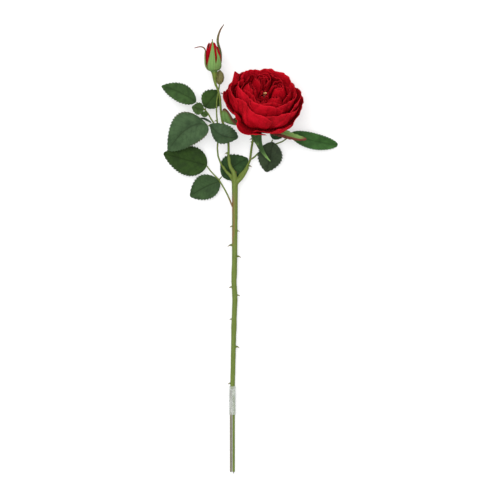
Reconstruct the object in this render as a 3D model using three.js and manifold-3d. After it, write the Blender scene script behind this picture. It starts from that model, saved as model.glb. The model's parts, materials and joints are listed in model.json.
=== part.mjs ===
// Artificial garden rose on one stem, laid down on its back: an open bloom, a bud, a small closed bud
// and four sprays of serrated leaflets on a thorned stem. Millimetres, +Y up the stem, +Z up off the table.

import * as THREE from 'three';
import { mergeVertices } from 'three/addons/utils/BufferGeometryUtils.js';
import Module from 'manifold-3d';

const wasm = await Module();
wasm.setup();

// Sheets and clearances
const petalThickness = 0.5;
const leafThickness = 0.6;
const sepalThickness = 0.6;
const seatGap = 0.3;
const petalGap = 0.55;

// Stem and foot
const stemFootRadius = 3.3;
const stemTopRadius = 4.1;
const knuckleRadius = 4.4;
const knuckleLength = 12;
const stemFootY = 111;
const stemTopY = 386;
const nodeSwelling = 0.5;
const nodeSwellingLength = 4;
const nodeHeights = [193, 226, 269];
const wireRadius = 0.6;
const wireShows = 1.6;
const wireSeat = 26;
const greenStrandRadius = 1.9;
const brownStrandRadius = 1.45;
const footCentreX = -0.8;
const tapeBottomY = 77;
const tapeLap = 4;
const tapeThickness = 0.3;

// Branches
const branchRadius = 2.05;
const sideBranchRadius = 1.5;
const tenonRadius = 1.05;
const socketGap = 0.5;
const tenonLength = 10;
const tenonPitch = 2;
const branchTipRadius = 1.7;
const rachisRadius = 1.15;
const petioleRadius = 0.8;

// Bloom
const bloomCentre = new THREE.Vector3(40.2, 495.8, 50.1);
const bloomLean = THREE.MathUtils.degToRad(15);
const bloomRise = THREE.MathUtils.degToRad(41);
const calyxTop = -30.4;
const calyxRadius = 8.4;
const calyxDepth = 8.5;
const stamenTop = 15;
const stamenHeight = 5;
const stamenRadius = 2.6;
const columnRadius = 1.8;

// Bud
const budBase = new THREE.Vector3(-25.1, 537.5, 31);
const budLean = THREE.MathUtils.degToRad(-5);
const budRise = THREE.MathUtils.degToRad(8);
const budHeartRadius = 7.4;
const budHeight = 38;
const budPetalRamp = 0.95;
const smallBudRadius = 5;
const smallBudLength = 18;

// Materials
const paint = (hex, roughness, metalness = 0) =>
  new THREE.MeshStandardMaterial({ color: hex, roughness, metalness });
const stemGreen = () => paint(0x6f8a35, 0.55);
const brownSkin = () => paint(0x7c6a4e, 0.6);
const leafGreen = () => paint(0x3c5f38, 0.6);
const petalRed = () => paint(0xb01020, 0.85);
const calyxGreen = () => paint(0x6f9a52, 0.7);
const stamenYellow = () => paint(0xd9b45a, 0.8);
const wireSteel = () => paint(0x55585c, 0.4, 0.9);
const clearFilm = () => paint(0xdfe3e4, 0.15);

const rose = new THREE.Group();

// Solids and meshes
function solidOf(geometry) {
  const bare = new THREE.BufferGeometry();
  bare.setAttribute('position', geometry.getAttribute('position'));
  if (geometry.index) bare.setIndex(geometry.index);
  const merged = mergeVertices(bare, 1e-4);
  return new wasm.Manifold(new wasm.Mesh({
    numProp: 3,
    vertProperties: new Float32Array(merged.getAttribute('position').array),
    triVerts: new Uint32Array(merged.index.array),
  }));
}

function geometryOf(solid) {
  const mesh = solid.getMesh();
  const geometry = new THREE.BufferGeometry();
  geometry.setAttribute('position', new THREE.BufferAttribute(new Float32Array(mesh.vertProperties), 3));
  geometry.setIndex(new THREE.BufferAttribute(new Uint32Array(mesh.triVerts), 1));
  geometry.computeVertexNormals();
  return geometry;
}

function addPiece(parent, name, geometry, material) {
  const piece = new THREE.Mesh(geometry, material);
  piece.name = name;
  parent.add(piece);
  return piece;
}

function addSolid(parent, name, solid, material) {
  return addPiece(parent, name, geometryOf(solid), material);
}

// A smooth line through points that are given as x, y, z
function lineThrough(points) {
  return new THREE.CatmullRomCurve3(points.map((p) => new THREE.Vector3(...p)), false, 'centripetal');
}

// A smooth line through points that are given as radius and height
const profileLine = (points) => lineThrough(points.map(([radius, height]) => [radius, 0, height]));

// A closed round rod along a curve, whose radius changes with the share of the length
function taperedRod(curve, radiusAt, sides, steps) {
  const frames = curve.computeFrenetFrames(steps, false);
  const corners = [];
  const faces = [];
  for (let i = 0; i <= steps; i += 1) {
    const centre = curve.getPointAt(i / steps);
    const radius = radiusAt(i / steps);
    for (let k = 0; k < sides; k += 1) {
      const turn = (2 * Math.PI * k) / sides;
      corners.push(centre.clone()
        .addScaledVector(frames.normals[i], radius * Math.cos(turn))
        .addScaledVector(frames.binormals[i], radius * Math.sin(turn)));
    }
  }
  for (let i = 0; i < steps; i += 1) {
    for (let k = 0; k < sides; k += 1) {
      const a = i * sides + k;
      const b = i * sides + ((k + 1) % sides);
      faces.push(a, b, a + sides, b, b + sides, a + sides);
    }
  }
  const foot = corners.length;
  corners.push(curve.getPointAt(0), curve.getPointAt(1));
  const top = steps * sides;
  for (let k = 0; k < sides; k += 1) {
    const next = (k + 1) % sides;
    faces.push(foot, next, k);
    faces.push(foot + 1, top + k, top + next);
  }
  return shellFrom(corners, faces);
}

function shellFrom(corners, faces) {
  const geometry = new THREE.BufferGeometry();
  geometry.setFromPoints(corners);
  geometry.setIndex(faces);
  geometry.computeVertexNormals();
  return geometry;
}

// A closed sheet of even thickness over a surface that is given by across in -1..1 and along in 0..1
function closedSheet(surfaceAt, columns, rows, thickness) {
  const step = 1e-3;
  const upper = [];
  const lower = [];
  for (let j = 0; j <= rows; j += 1) {
    for (let i = 0; i <= columns; i += 1) {
      const across = -1 + (2 * i) / columns;
      const along = j / rows;
      const point = surfaceAt(across, along);
      const sideways = surfaceAt(across + step, along).sub(surfaceAt(across - step, along));
      const forwards = surfaceAt(across, along + step).sub(surfaceAt(across, along - step));
      const normal = sideways.cross(forwards).normalize();
      upper.push(point.clone().addScaledVector(normal, thickness / 2));
      lower.push(point.clone().addScaledVector(normal, -thickness / 2));
    }
  }
  const under = upper.length;
  const width = columns + 1;
  const faces = [];
  for (let j = 0; j < rows; j += 1) {
    for (let i = 0; i < columns; i += 1) {
      const a = j * width + i;
      faces.push(a, a + 1, a + width, a + 1, a + width + 1, a + width);
      faces.push(under + a, under + a + width, under + a + 1);
      faces.push(under + a + 1, under + a + width, under + a + width + 1);
    }
  }
  const border = [];
  for (let i = 0; i < columns; i += 1) border.push(i);
  for (let j = 0; j < rows; j += 1) border.push(j * width + columns);
  for (let i = columns; i > 0; i -= 1) border.push(rows * width + i);
  for (let j = rows; j > 0; j -= 1) border.push(j * width);
  border.forEach((a, n) => {
    const b = border[(n + 1) % border.length];
    faces.push(a, under + a, b, b, under + a, under + b);
  });
  return shellFrom(upper.concat(lower), faces);
}

// A flower's own frame: its axis leans to the right by lean and rises off the table by rise
function flowerFrame(centre, lean, rise) {
  const axis = new THREE.Vector3(
    Math.sin(lean) * Math.cos(rise),
    Math.cos(lean) * Math.cos(rise),
    Math.sin(rise),
  );
  const right = new THREE.Vector3(Math.cos(lean), -Math.sin(lean), 0);
  const back = new THREE.Vector3().crossVectors(axis, right);
  const group = new THREE.Group();
  group.position.copy(centre);
  group.quaternion.setFromRotationMatrix(new THREE.Matrix4().makeBasis(right, back, axis));
  group.userData.axis = axis;
  return group;
}

const aroundAxis = (radius, turn, height) =>
  new THREE.Vector3(radius * Math.cos(turn), radius * Math.sin(turn), height);
const degrees = THREE.MathUtils.degToRad;
const mix = THREE.MathUtils.lerp;
const ease = (value) => THREE.MathUtils.smoothstep(value, 0, 1);
const bump = (value, peak, width) => Math.exp(-(((value - peak) / width) ** 2));

function bezier(points, t) {
  const s = 1 - t;
  const weights = [s * s * s, 3 * s * s * t, 3 * s * t * t, t * t * t];
  return [0, 1].map((k) => points.reduce((sum, point, i) => sum + weights[i] * point[k], 0));
}

// The bloom's shared unevenness: every petal bends with its neighbours, so that none cuts another
function unevenBloom(radius, turn, height) {
  const reach = (radius / 50) ** 2;
  const wave = 0.03 * Math.sin(2 * turn + 0.6) + 0.018 * Math.sin(5 * turn + 0.05 * height);
  const inwards = 8.5 * bump(turn, 3.74, 0.42) * ease(radius / 50);
  const pinch = reach * 0.1 * bump(turn, 2.72, 0.28) * (1 - ease(height / 20));
  const wide = radius * (1 + wave - pinch) - inwards;
  const hitch = 4 * bump(turn, 5.1, 0.3);
  const lift = reach * (1.5 * Math.sin(3 * turn + 1.2) + 1.1 * Math.sin(8 * turn + 0.3) + hitch);
  return aroundAxis(wide, turn + 0.05 * Math.sin(height / 15), height + lift);
}

// Petal outline: narrow claw, full shoulders, and a round rim that may carry a point
const clawShare = 0.34;
const shoulderAt = 0.55;
const petalFullness = (along) => mix(clawShare, 1, ease(along / shoulderAt));

// Cup whorls from the inside out, profiles as radius and height at the back and at the front of the bloom
const cupWhorls = [
  {
    name: 'cup_petal',
    rows: 4,
    back: [[5.6, -20], [40, -26], [41, 2], [38, 25]],
    front: [[5.6, -20], [38, -25], [39.5, -2], [35.5, 22.5]],
    halfWidth: 50,
    petals: [
      { turn: 128, rim: 0.98, point: 0.02 },
      { turn: 200, rim: 0.95, point: 0 },
      { turn: 272, rim: 0.96, point: 0 },
      { turn: 344, rim: 0.94, point: 0.02 },
      { turn: 56, rim: 1, point: 0 },
    ],
  },
  {
    name: 'shoulder_petal',
    rows: 5,
    back: [[7.1, -24], [48, -30], [47, -2], [45, 20]],
    front: [[7.1, -24], [43, -32], [50, -8], [41, 16.5]],
    halfWidth: 50,
    petals: [
      { turn: 168, rim: 1, point: 0.11, flare: 5.5 },
      { turn: 242, rim: 1, point: 0 },
      { turn: 312, rim: 0.97, point: 0 },
      { turn: 20, rim: 0.95, point: 0 },
      { turn: 92, rim: 0.95, point: 0.02 },
    ],
  },
  {
    name: 'guard_petal',
    rows: 5,
    back: [[8.6, -28], [54, -36], [53, -10], [49, 13]],
    front: [[8.6, -28], [34, -35], [46, -28], [49.5, -15]],
    halfWidth: 41,
    petals: [
      { turn: 187, rim: 0.97, point: 0.06, flare: 5 },
      { turn: 248, rim: 1, point: 0.05, flare: 7 },
      { turn: 311, rim: 0.9, point: 0 },
      { turn: 5, rim: 1, point: 0 },
      { turn: 62, rim: 0.97, point: 0 },
      { turn: 125, rim: 0.93, point: 0 },
    ],
  },
];
const petalRamp = 1.75;
const rimRoundness = 0.2;

// One petal of a whorl: it lies on the whorl's profile, one edge outside its neighbour and one inside
function cupPetal(whorl, petal) {
  const surfaceAt = (across, along) => {
    const share = across * petalFullness(along);
    const turn = degrees(petal.turn + whorl.halfWidth * share);
    const front = 0.5 - 0.5 * Math.sin(turn);
    const crown = 1 - rimRoundness * Math.abs(across) ** 2.6 + petal.point * bump(across, 0, 0.2);
    const reach = along * petal.rim * crown;
    const [backRadius, backHeight] = bezier(whorl.back, reach);
    const [frontRadius, frontHeight] = bezier(whorl.front, reach);
    const ramp = petalRamp * share * Math.SQRT1_2;
    const lean = (petal.flare ?? 0) * bump(across, 0.1, 0.3) * ease(2 * along - 1);
    return unevenBloom(
      mix(backRadius, frontRadius, front) + ramp + lean,
      turn,
      mix(backHeight, frontHeight, front) - ramp,
    );
  };
  return closedSheet(surfaceAt, 6, whorl.rows, petalThickness);
}

// Quarters of the heart: nested petals folded to a U whose bend faces the cup's wall
const heartQuarters = [
  { turn: 190, halfWidth: 36, folds: 3, top: 23, curl: 0.34 },
  { turn: 112, halfWidth: 36, folds: 2, top: 24, curl: 0.06 },
  { turn: 42, halfWidth: 30, folds: 1, top: 22, curl: 0.22 },
  { turn: 326, halfWidth: 34, folds: 3, top: 20, curl: 0.12 },
  { turn: 259, halfWidth: 29, folds: 1, top: 17, curl: 0.1 },
];
const heartReach = 32.5;
const heartOpening = 7;
const openingStep = 1.6;
const foldSpacing = 6;
const foldNarrowing = 0.32;
const curlStart = 0.62;
const curlDrop = 4.8;
const loopBreadth = 0.7;
const heartBaseHeight = -16.5;
const foldLift = 1.5;
const heartClawScale = 0.2;
const foldTurn = 88;
const loopWaist = 1.3;
const foldBend = (fold) => heartReach - foldSpacing * fold;
const foldMouth = (fold) => heartOpening + openingStep * fold;
const heartProfile = (top, lift) => [
  [heartClawScale, heartBaseHeight + lift],
  [1, heartBaseHeight + 2.5 + lift],
  [1.02, 4 + lift],
  [0.96, top],
];
const clawLoop = Math.cos(degrees(foldTurn * clawShare)) ** loopBreadth;
const heartClawRadius = (fold) => heartClawScale * mix(foldMouth(fold), foldBend(fold), clawLoop);

function heartPetal(quarter, fold) {
  const halfWidth = quarter.halfWidth * (1 - foldNarrowing * fold);
  const bend = foldBend(fold);
  const open = foldMouth(fold);
  const middle = (bend + open) / 2;
  const profile = heartProfile(quarter.top - curlDrop * fold * quarter.curl, foldLift * fold);
  const surfaceAt = (across, along) => {
    const sweep = degrees(foldTurn) * across * petalFullness(along);
    const [scale, height] = bezier(profile, along * (1 - 0.1 * across * across));
    const tuck = 1 - quarter.curl * Math.max(0, (along - curlStart) / (1 - curlStart)) ** 2;
    const loop = Math.cos(sweep) ** loopBreadth;
    const radius = middle + (open + (bend - open) * loop - middle) * tuck;
    const turn = degrees(quarter.turn + halfWidth * Math.sin(loopWaist * sweep) * tuck);
    return unevenBloom(radius * scale, turn, height);
  };
  return closedSheet(surfaceAt, 7, 4, petalThickness);
}

// Bloom
const bloom = flowerFrame(bloomCentre, bloomLean, bloomRise);
rose.add(bloom);

cupWhorls.forEach((whorl) => {
  whorl.petals.forEach((petal, i) => {
    addPiece(bloom, `${whorl.name}_${i + 1}`, cupPetal(whorl, petal), petalRed());
  });
});
heartQuarters.forEach((quarter, q) => {
  for (let fold = 0; fold < quarter.folds; fold += 1) {
    addPiece(bloom, `heart_petal_${q + 1}${'abc'[fold]}`, heartPetal(quarter, fold), petalRed());
  }
});

function lathe(profile, sides) {
  const geometry = new THREE.LatheGeometry(profile.map((p) => new THREE.Vector2(...p)), sides);
  geometry.rotateX(Math.PI / 2);
  return geometry;
}

// Receptacle: the cone that carries the petals, with the column that holds the stamens
const petalSeat = petalThickness / 2 + seatGap;
const receptacle = lathe([
  [0, calyxTop + seatGap],
  [cupWhorls[2].back[0][0] - petalSeat - 0.5, calyxTop + seatGap],
  [cupWhorls[2].back[0][0] - petalSeat - 0.5, cupWhorls[2].back[0][1]],
  [cupWhorls[1].back[0][0] - petalSeat - 0.4, cupWhorls[1].back[0][1]],
  [cupWhorls[0].back[0][0] - petalSeat - 0.3, cupWhorls[0].back[0][1]],
  ...[0, 1, 2].map((fold) => [heartClawRadius(fold) - petalSeat, heartBaseHeight + foldLift * fold]),
  [columnRadius, heartBaseHeight + 9],
  [columnRadius, stamenTop - stamenHeight],
  [0, stamenTop - stamenHeight],
], 8);
addPiece(bloom, 'receptacle', receptacle, paint(0x5c0f14, 0.8));

const stamens = lathe([
  [0, stamenTop - stamenHeight + seatGap],
  [columnRadius, stamenTop - stamenHeight + seatGap],
  [stamenRadius, stamenTop - 1.6],
  [stamenRadius * 0.75, stamenTop - 0.3],
  [0, stamenTop],
], 8);
addPiece(bloom, 'stamen_button', stamens, stamenYellow());

// A sepal: a leafy strip that leaves the calyx at one bearing and drifts to another
const sepalRoot = [calyxRadius - 2.5, calyxTop - 1.6];
const sepalCup = 0.3;
function sepalStrip({ profile, turnFrom, turnTo, width }) {
  const line = profileLine([sepalRoot, ...profile]);
  const surfaceAt = (across, along) => {
    const t = Math.min(Math.max(along, 0), 1);
    const centre = line.getPoint(t).addScaledVector(line.getTangent(t), (along - t) * line.getLength());
    const half = width * 0.5 * Math.max(0.07, Math.sin(Math.PI * Math.min(1, 0.16 + 0.84 * t)) ** 0.9);
    const turn = degrees(mix(turnFrom, turnTo, t));
    const point = aroundAxis(centre.x, turn, centre.z - sepalCup * half * (1 - across * across));
    const side = new THREE.Vector3(-Math.sin(turn), Math.cos(turn), 0);
    return point.addScaledVector(side, half * across);
  };
  return closedSheet(surfaceAt, 2, 5, sepalThickness);
}

// Calyx of the bloom: a cup with a socket for the branch, and five sepals bent back from its rim
const branchSeat = calyxTop - calyxDepth;
const cupWall = solidOf(lathe([
  [0, branchSeat],
  [branchTipRadius + 1.4, branchSeat],
  [calyxRadius * 0.8, branchSeat + calyxDepth * 0.45],
  [calyxRadius, calyxTop - 1.2],
  [calyxRadius - 0.8, calyxTop],
  [0, calyxTop],
], 12));
const bloomSepals = [
  { turnFrom: 338, turnTo: 356, width: 19, profile: [[20, -36], [44, -39], [69, -41]] },
  { turnFrom: 266, turnTo: 319, width: 12, profile: [[13, -38], [21, -53], [29, -64], [40, -76]] },
  { turnFrom: 208, turnTo: 196, width: 22, profile: [[20, -37], [40, -36], [52, -16]] },
  { turnFrom: 124, turnTo: 159, width: 13, profile: [[20, -35], [42, -33], [62, -24]] },
  { turnFrom: 52, turnTo: 44, width: 15, profile: [[20, -36], [34, -38], [46, -34]] },
];
const bloomCalyx = bloomSepals.reduce((sum, sepal) => sum.add(solidOf(sepalStrip(sepal))), cupWall);

// Stem lines, from the foot up
const stemLine = lineThrough([
  [-0.7, stemFootY, 5], [0, 139, 5.6], [0.8, 177, 6.6], [1.8, 212, 7.6], [2.6, 236, 8.2],
  [1.3, 252, 8.8], [2, 276, 9.4], [2.3, 311, 10.2], [2.5, 348, 11.2], [2.6, 370, 11.6], [2.5, stemTopY, 12],
]);
const stemAxisTop = new THREE.Vector3(2.5, stemTopY, 12);

function stemRadiusAt(share) {
  const height = stemLine.getPointAt(share).y;
  const plain = mix(stemFootRadius, stemTopRadius, share);
  const swelling = nodeHeights.reduce(
    (sum, node) => sum + nodeSwelling * bump(height, node, nodeSwellingLength),
    0,
  );
  const knuckle = ease(Math.max(0, (height - stemTopY + knuckleLength * 2) / (knuckleLength * 2)));
  return mix(plain + swelling, knuckleRadius, knuckle);
}

// A branch starts as a thin tenon in the stem's head and swells to its full size above it
function branchRod(points, bearing, radius, tipRadius, sides, steps) {
  const offset = new THREE.Vector3(Math.cos(degrees(bearing)), 0, Math.sin(degrees(bearing)));
  const mouth = stemAxisTop.clone().addScaledVector(offset, tenonPitch);
  const root = mouth.clone().setY(stemTopY - tenonLength);
  const above = mouth.clone().setY(stemTopY + 4);
  const line = lineThrough([root, mouth, above].map((p) => p.toArray()).concat(points));
  const length = line.getLength();
  const radiusAt = (share, extra = 0) => {
    const swell = Math.max(0, share * length - tenonLength) / (tenonLength * 1.5);
    return mix(tenonRadius, mix(radius, tipRadius, share), ease(Math.min(1, swell))) + extra;
  };
  const socketFloor = root.clone().setY(root.y - seatGap);
  const socketLine = new THREE.LineCurve3(socketFloor, mouth.clone().setY(stemTopY + 3));
  return {
    line,
    rod: solidOf(taperedRod(line, radiusAt, sides, steps)),
    sleeve: solidOf(taperedRod(line, (share) => radiusAt(share, seatGap), sides, steps)),
    socket: solidOf(taperedRod(socketLine, () => tenonRadius + socketGap, sides, 1)),
  };
}

const bloomNeck = bloomCentre.clone().addScaledVector(bloom.userData.axis, branchSeat - seatGap);
const neckBelow = bloomNeck.clone().addScaledVector(bloom.userData.axis, -9);
const bloomBranch = branchRod([
  [8.2, 396.5, 11.6], [13.6, 401.5, 10.5], [18.8, 409, 8.5], [22.7, 417, 7], [23.7, 425, 6.4],
  [25.4, 438, 6.6],
  neckBelow.toArray(), bloomNeck.toArray(),
], 335, branchRadius, branchTipRadius, 6, 13);

const budFrame = flowerFrame(budBase, budLean, budRise);
rose.add(budFrame);
const budCalyxDepth = 10;
const budNeck = budBase.clone().addScaledVector(budFrame.userData.axis, -budCalyxDepth - seatGap);
const budNeckBelow = budNeck.clone().addScaledVector(budFrame.userData.axis, -7);
const budBranch = branchRod([
  [1.2, 400, 14.8], [-4, 410, 15.6], [-5.9, 424, 17], [-5.8, 440, 18.6], [-8.5, 453, 20],
  [-13.1, 465, 21.4], [-15.8, 478, 22.8], [-16.6, 491, 24], [-17.7, 504, 26],
  budNeckBelow.toArray(), budNeck.toArray(),
], 90, branchRadius, branchTipRadius, 6, 16);

const sideTip = new THREE.Vector3(-17.9, 519, 18.6);
const sideBranch = branchRod([
  [-2.6, 396, 10.6], [-9, 402.5, 10.8], [-13.5, 409, 11.6], [-18.4, 417, 12.8], [-20.8, 431, 14.4],
  [-19.6, 453, 16.4], [-20.6, 467, 17.2], [-22.1, 482, 17.8], [-21.4, 498, 18.2], [-18.8, 512, 18.4],
  sideTip.toArray(),
], 205, sideBranchRadius, sideBranchRadius * 0.85, 6, 14);

// A thorn: a short hooked cone that grows out of a stem
function thorn(line, share, stemRadius, bearing, length) {
  const base = line.getPointAt(share);
  const along = line.getTangentAt(share);
  const out = new THREE.Vector3(Math.cos(degrees(bearing)), 0, Math.sin(degrees(bearing)));
  out.addScaledVector(along, -out.dot(along)).normalize();
  const reach = stemRadius + length;
  const spine = new THREE.CatmullRomCurve3([
    base.clone().addScaledVector(out, stemRadius * 0.4),
    base.clone().addScaledVector(out, stemRadius + length * 0.4).addScaledVector(along, -0.1),
    base.clone().addScaledVector(out, reach).addScaledVector(along, -length * 0.35),
  ]);
  return solidOf(taperedRod(spine, (t) => mix(Math.min(2, 0.6 + length * 0.3), 0.2, t ** 0.8), 4, 2));
}

// Main stem: thorned sleeve with three branch sockets in its head and a bore for the core wire
const shareAtHeight = (line, height) => {
  let low = 0;
  let high = 1;
  for (let i = 0; i < 24; i += 1) {
    const middle = (low + high) / 2;
    if (line.getPointAt(middle).y < height) low = middle;
    else high = middle;
  }
  return (low + high) / 2;
};
const stemThorns = [
  { height: 329, bearing: 190, length: 3.2 },
  { height: 323, bearing: 10, length: 2.6 },
  { height: 304, bearing: 175, length: 5.6 },
  { height: 289, bearing: -10, length: 4.8 },
  { height: 248, bearing: 170, length: 3.4 },
  { height: 237, bearing: 5, length: 3 },
  { height: 205, bearing: 185, length: 2.8 },
  { height: 168, bearing: 12, length: 4.6 },
  { height: 119, bearing: 172, length: 2.8 },
];
let mainStem = solidOf(taperedRod(stemLine, stemRadiusAt, 8, 23));
stemThorns.forEach(({ height, bearing, length }) => {
  const share = shareAtHeight(stemLine, height);
  mainStem = mainStem.add(thorn(stemLine, share, stemRadiusAt(share), bearing, length));
});
[bloomBranch, budBranch, sideBranch].forEach((branch) => {
  mainStem = mainStem.subtract(branch.socket);
});

// Foot: a green and a brown strand side by side, with the core wire inside the green one
const strandTopY = stemFootY - seatGap;
const strandSpread = greenStrandRadius + brownStrandRadius + seatGap / 2;
const greenX = footCentreX + strandSpread - greenStrandRadius;
const brownX = footCentreX - strandSpread + brownStrandRadius;
const greenLine = lineThrough([
  [greenX, 0, greenStrandRadius], [greenX, 12, greenStrandRadius], [greenX, 45, 2.9],
  [greenX, 80, 4.2], [greenX, strandTopY, 5],
]);
const brownLine = lineThrough([
  [brownX, 0, brownStrandRadius], [brownX, 12, brownStrandRadius], [brownX, 45, 2.6],
  [brownX, 80, 4], [brownX, strandTopY, 5],
]);
const wirePoints = [
  [greenX, 12, greenStrandRadius], [greenX, 45, 2.9], [greenX, 80, 4.2], [greenX, strandTopY, 5],
];
const wireLine = lineThrough([
  [greenX, -wireShows, greenStrandRadius], ...wirePoints, [greenX - 0.1, stemFootY + wireSeat, 5.5],
]);
const boreLine = lineThrough([
  [greenX, -wireShows - 1, greenStrandRadius], ...wirePoints,
  [greenX - 0.1, stemFootY + wireSeat + seatGap, 5.5],
]);
const wireBore = solidOf(taperedRod(boreLine, () => wireRadius + seatGap, 6, 7));
mainStem = mainStem.subtract(wireBore);
const greenStrand = solidOf(taperedRod(greenLine, () => greenStrandRadius, 8, 5)).subtract(wireBore);
const brownStrand = solidOf(taperedRod(brownLine, () => brownStrandRadius, 8, 5));
const coreWire = solidOf(taperedRod(wireLine, () => wireRadius, 6, 7));
addSolid(rose, 'main_stem', mainStem, stemGreen());
addSolid(rose, 'green_strand', greenStrand, stemGreen());
addSolid(rose, 'brown_strand', brownStrand, brownSkin());
addSolid(rose, 'core_wire', coreWire, wireSteel());

// Clear tape: an oval band round both strands and the stem's foot
const tapeHalfWidth = 4.5;
const tapeHalfHeights = [2.7, 4.1];
const tapeCentres = [4.1, 5.1];
function ovalBand(grow, overrun) {
  const ends = [tapeBottomY - overrun, stemFootY + tapeLap + overrun];
  const corners = [];
  const faces = [];
  const sides = 12;
  ends.forEach((y, end) => {
    for (let k = 0; k < sides; k += 1) {
      const turn = (2 * Math.PI * k) / sides;
      corners.push(new THREE.Vector3(
        footCentreX + (tapeHalfWidth + grow) * Math.cos(turn),
        y,
        tapeCentres[end] - (tapeHalfHeights[end] + grow) * Math.sin(turn),
      ));
    }
  });
  for (let k = 0; k < sides; k += 1) {
    const next = (k + 1) % sides;
    faces.push(k, next, k + sides, next, next + sides, k + sides);
    if (k > 0 && next > 0) faces.push(0, next, k, sides, sides + k, sides + next);
  }
  return shellFrom(corners, faces);
}
const tape = solidOf(ovalBand(tapeThickness, 0)).subtract(solidOf(ovalBand(0, 1)));
addSolid(rose, 'clear_tape', tape, clearFilm());

// Branch thorns
function withThorns(branch, radius, thorns) {
  return thorns.reduce(
    (sum, [share, bearing, length]) => sum.add(thorn(branch.line, share, radius, bearing, length)),
    branch.rod,
  );
}
const bloomThorns = [[0.27, -10, 2.6], [0.7, 185, 2.4]];
const budThorns = [[0.13, 20, 1.8], [0.33, 175, 2.4], [0.6, 5, 1.4]];
const thornedBloomBranch = withThorns(bloomBranch, branchRadius, bloomThorns);
const thornedBudBranch = withThorns(budBranch, branchRadius, budThorns);
addSolid(rose, 'bloom_branch', thornedBloomBranch, stemGreen());
addSolid(rose, 'bud_branch', thornedBudBranch, stemGreen());
addSolid(rose, 'side_branch', sideBranch.rod, stemGreen());
addSolid(bloom, 'bloom_calyx', bloomCalyx, calyxGreen());

// Small closed bud at the side branch's tip
const smallBud = lathe([
  [0, 0],
  [sideBranchRadius + 0.2, 0],
  [smallBudRadius * 0.85, smallBudLength * 0.22],
  [smallBudRadius, smallBudLength * 0.48],
  [smallBudRadius * 0.78, smallBudLength * 0.76],
  [smallBudRadius * 0.2, smallBudLength * 0.97],
  [0, smallBudLength],
], 8);
const smallBudBase = sideTip.clone().add(new THREE.Vector3(0, seatGap, 0));
const smallBudFrame = flowerFrame(smallBudBase, degrees(1), degrees(1));
rose.add(smallBudFrame);
addPiece(smallBudFrame, 'small_bud', smallBud, paint(0x6a6a2e, 0.6));

// Bud: a rolled heart, three petals shingled round it and a calyx of five sepals
const budProfile = (swell) => [[2.6 + swell * 0.5, 1.2 - swell], [budHeartRadius * 1.55 + swell, 3 - swell],
  [budHeartRadius * 1.15 + swell, 27], [1.2 + swell, budHeight]];
const heartPoints = [0, 0.12, 0.26, 0.42, 0.6, 0.78, 0.92].map((t) => bezier(budProfile(0), t));
addPiece(budFrame, 'bud_heart', lathe([[0, 1.2], ...heartPoints, [0, budHeight - 0.4]], 8), petalRed());

const budPetalSwell = petalThickness / 2 + petalGap + budPetalRamp;
const budPetals = [
  { turn: 282, rim: 0.98 }, { turn: 42, rim: 0.93 }, { turn: 162, rim: 0.96 },
];
budPetals.forEach((petal, i) => {
  const surfaceAt = (across, along) => {
    const share = across * mix(0.5, 1, ease(Math.min(Math.max(along * 2, 0), 1)));
    const crown = 1 - 0.3 * across * across;
    const profile = budProfile(budPetalSwell + budPetalRamp * share);
    const [radius, height] = bezier(profile, along * petal.rim * crown);
    return aroundAxis(radius, degrees(petal.turn + 74 * share), height);
  };
  addPiece(budFrame, `bud_petal_${i + 1}`, closedSheet(surfaceAt, 6, 5, petalThickness), petalRed());
});

const sepalSwell = budPetalSwell + budPetalRamp + petalThickness / 2 + petalGap * 2.9 + sepalThickness / 2;
const hug = (t) => bezier(budProfile(sepalSwell), t);
const sepalStart = [[5.2, -3.2], hug(0.12), hug(0.3)];
const budSepals = [
  { turn: 266, half: 8, line: [...sepalStart, hug(0.6), hug(0.85), [4.6, 43]] },
  { turn: 320, half: 7.6, line: [...sepalStart, hug(0.55), [9.6, 24], [9, 29]] },
  { turn: 194, half: 6, line: [...sepalStart, [11.4, 20], [12.5, 27], [17, 29.5], [26, 28.5]] },
  { turn: 42, half: 6, line: [...sepalStart, hug(0.6), [8.2, 36], [10, 47], [16, 58]] },
  { turn: 118, half: 6, line: [...sepalStart, hug(0.6), [8.8, 32], [8.6, 38]] },
];
function budSepal({ turn, half, line }) {
  const path = profileLine(line);
  const surfaceAt = (across, along) => {
    const t = Math.min(Math.max(along, 0), 1);
    const spot = path.getPointAt(t).addScaledVector(path.getTangentAt(t), (along - t) * path.getLength());
    const width = Math.max(0.6, half * (1 - t) ** 0.8 * mix(0.5, 1, ease(Math.min(1, t * 4))));
    return aroundAxis(spot.x, degrees(turn) + (across * width) / Math.max(spot.x, 6), spot.z);
  };
  return solidOf(closedSheet(surfaceAt, 2, 6, sepalThickness));
}
const budCup = solidOf(lathe([
  [0, -budCalyxDepth],
  [branchTipRadius + 0.7, -budCalyxDepth],
  [branchTipRadius + 1.6, -budCalyxDepth * 0.6],
  [branchTipRadius + 2.4, -budCalyxDepth * 0.35],
  [6.4, -2.4],
  [4.6, -2],
  [0, -2],
], 8));
const budCalyx = budSepals.reduce((sum, sepal) => sum.add(budSepal(sepal)), budCup);
addSolid(budFrame, 'bud_calyx', budCalyx, calyxGreen());

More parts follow.
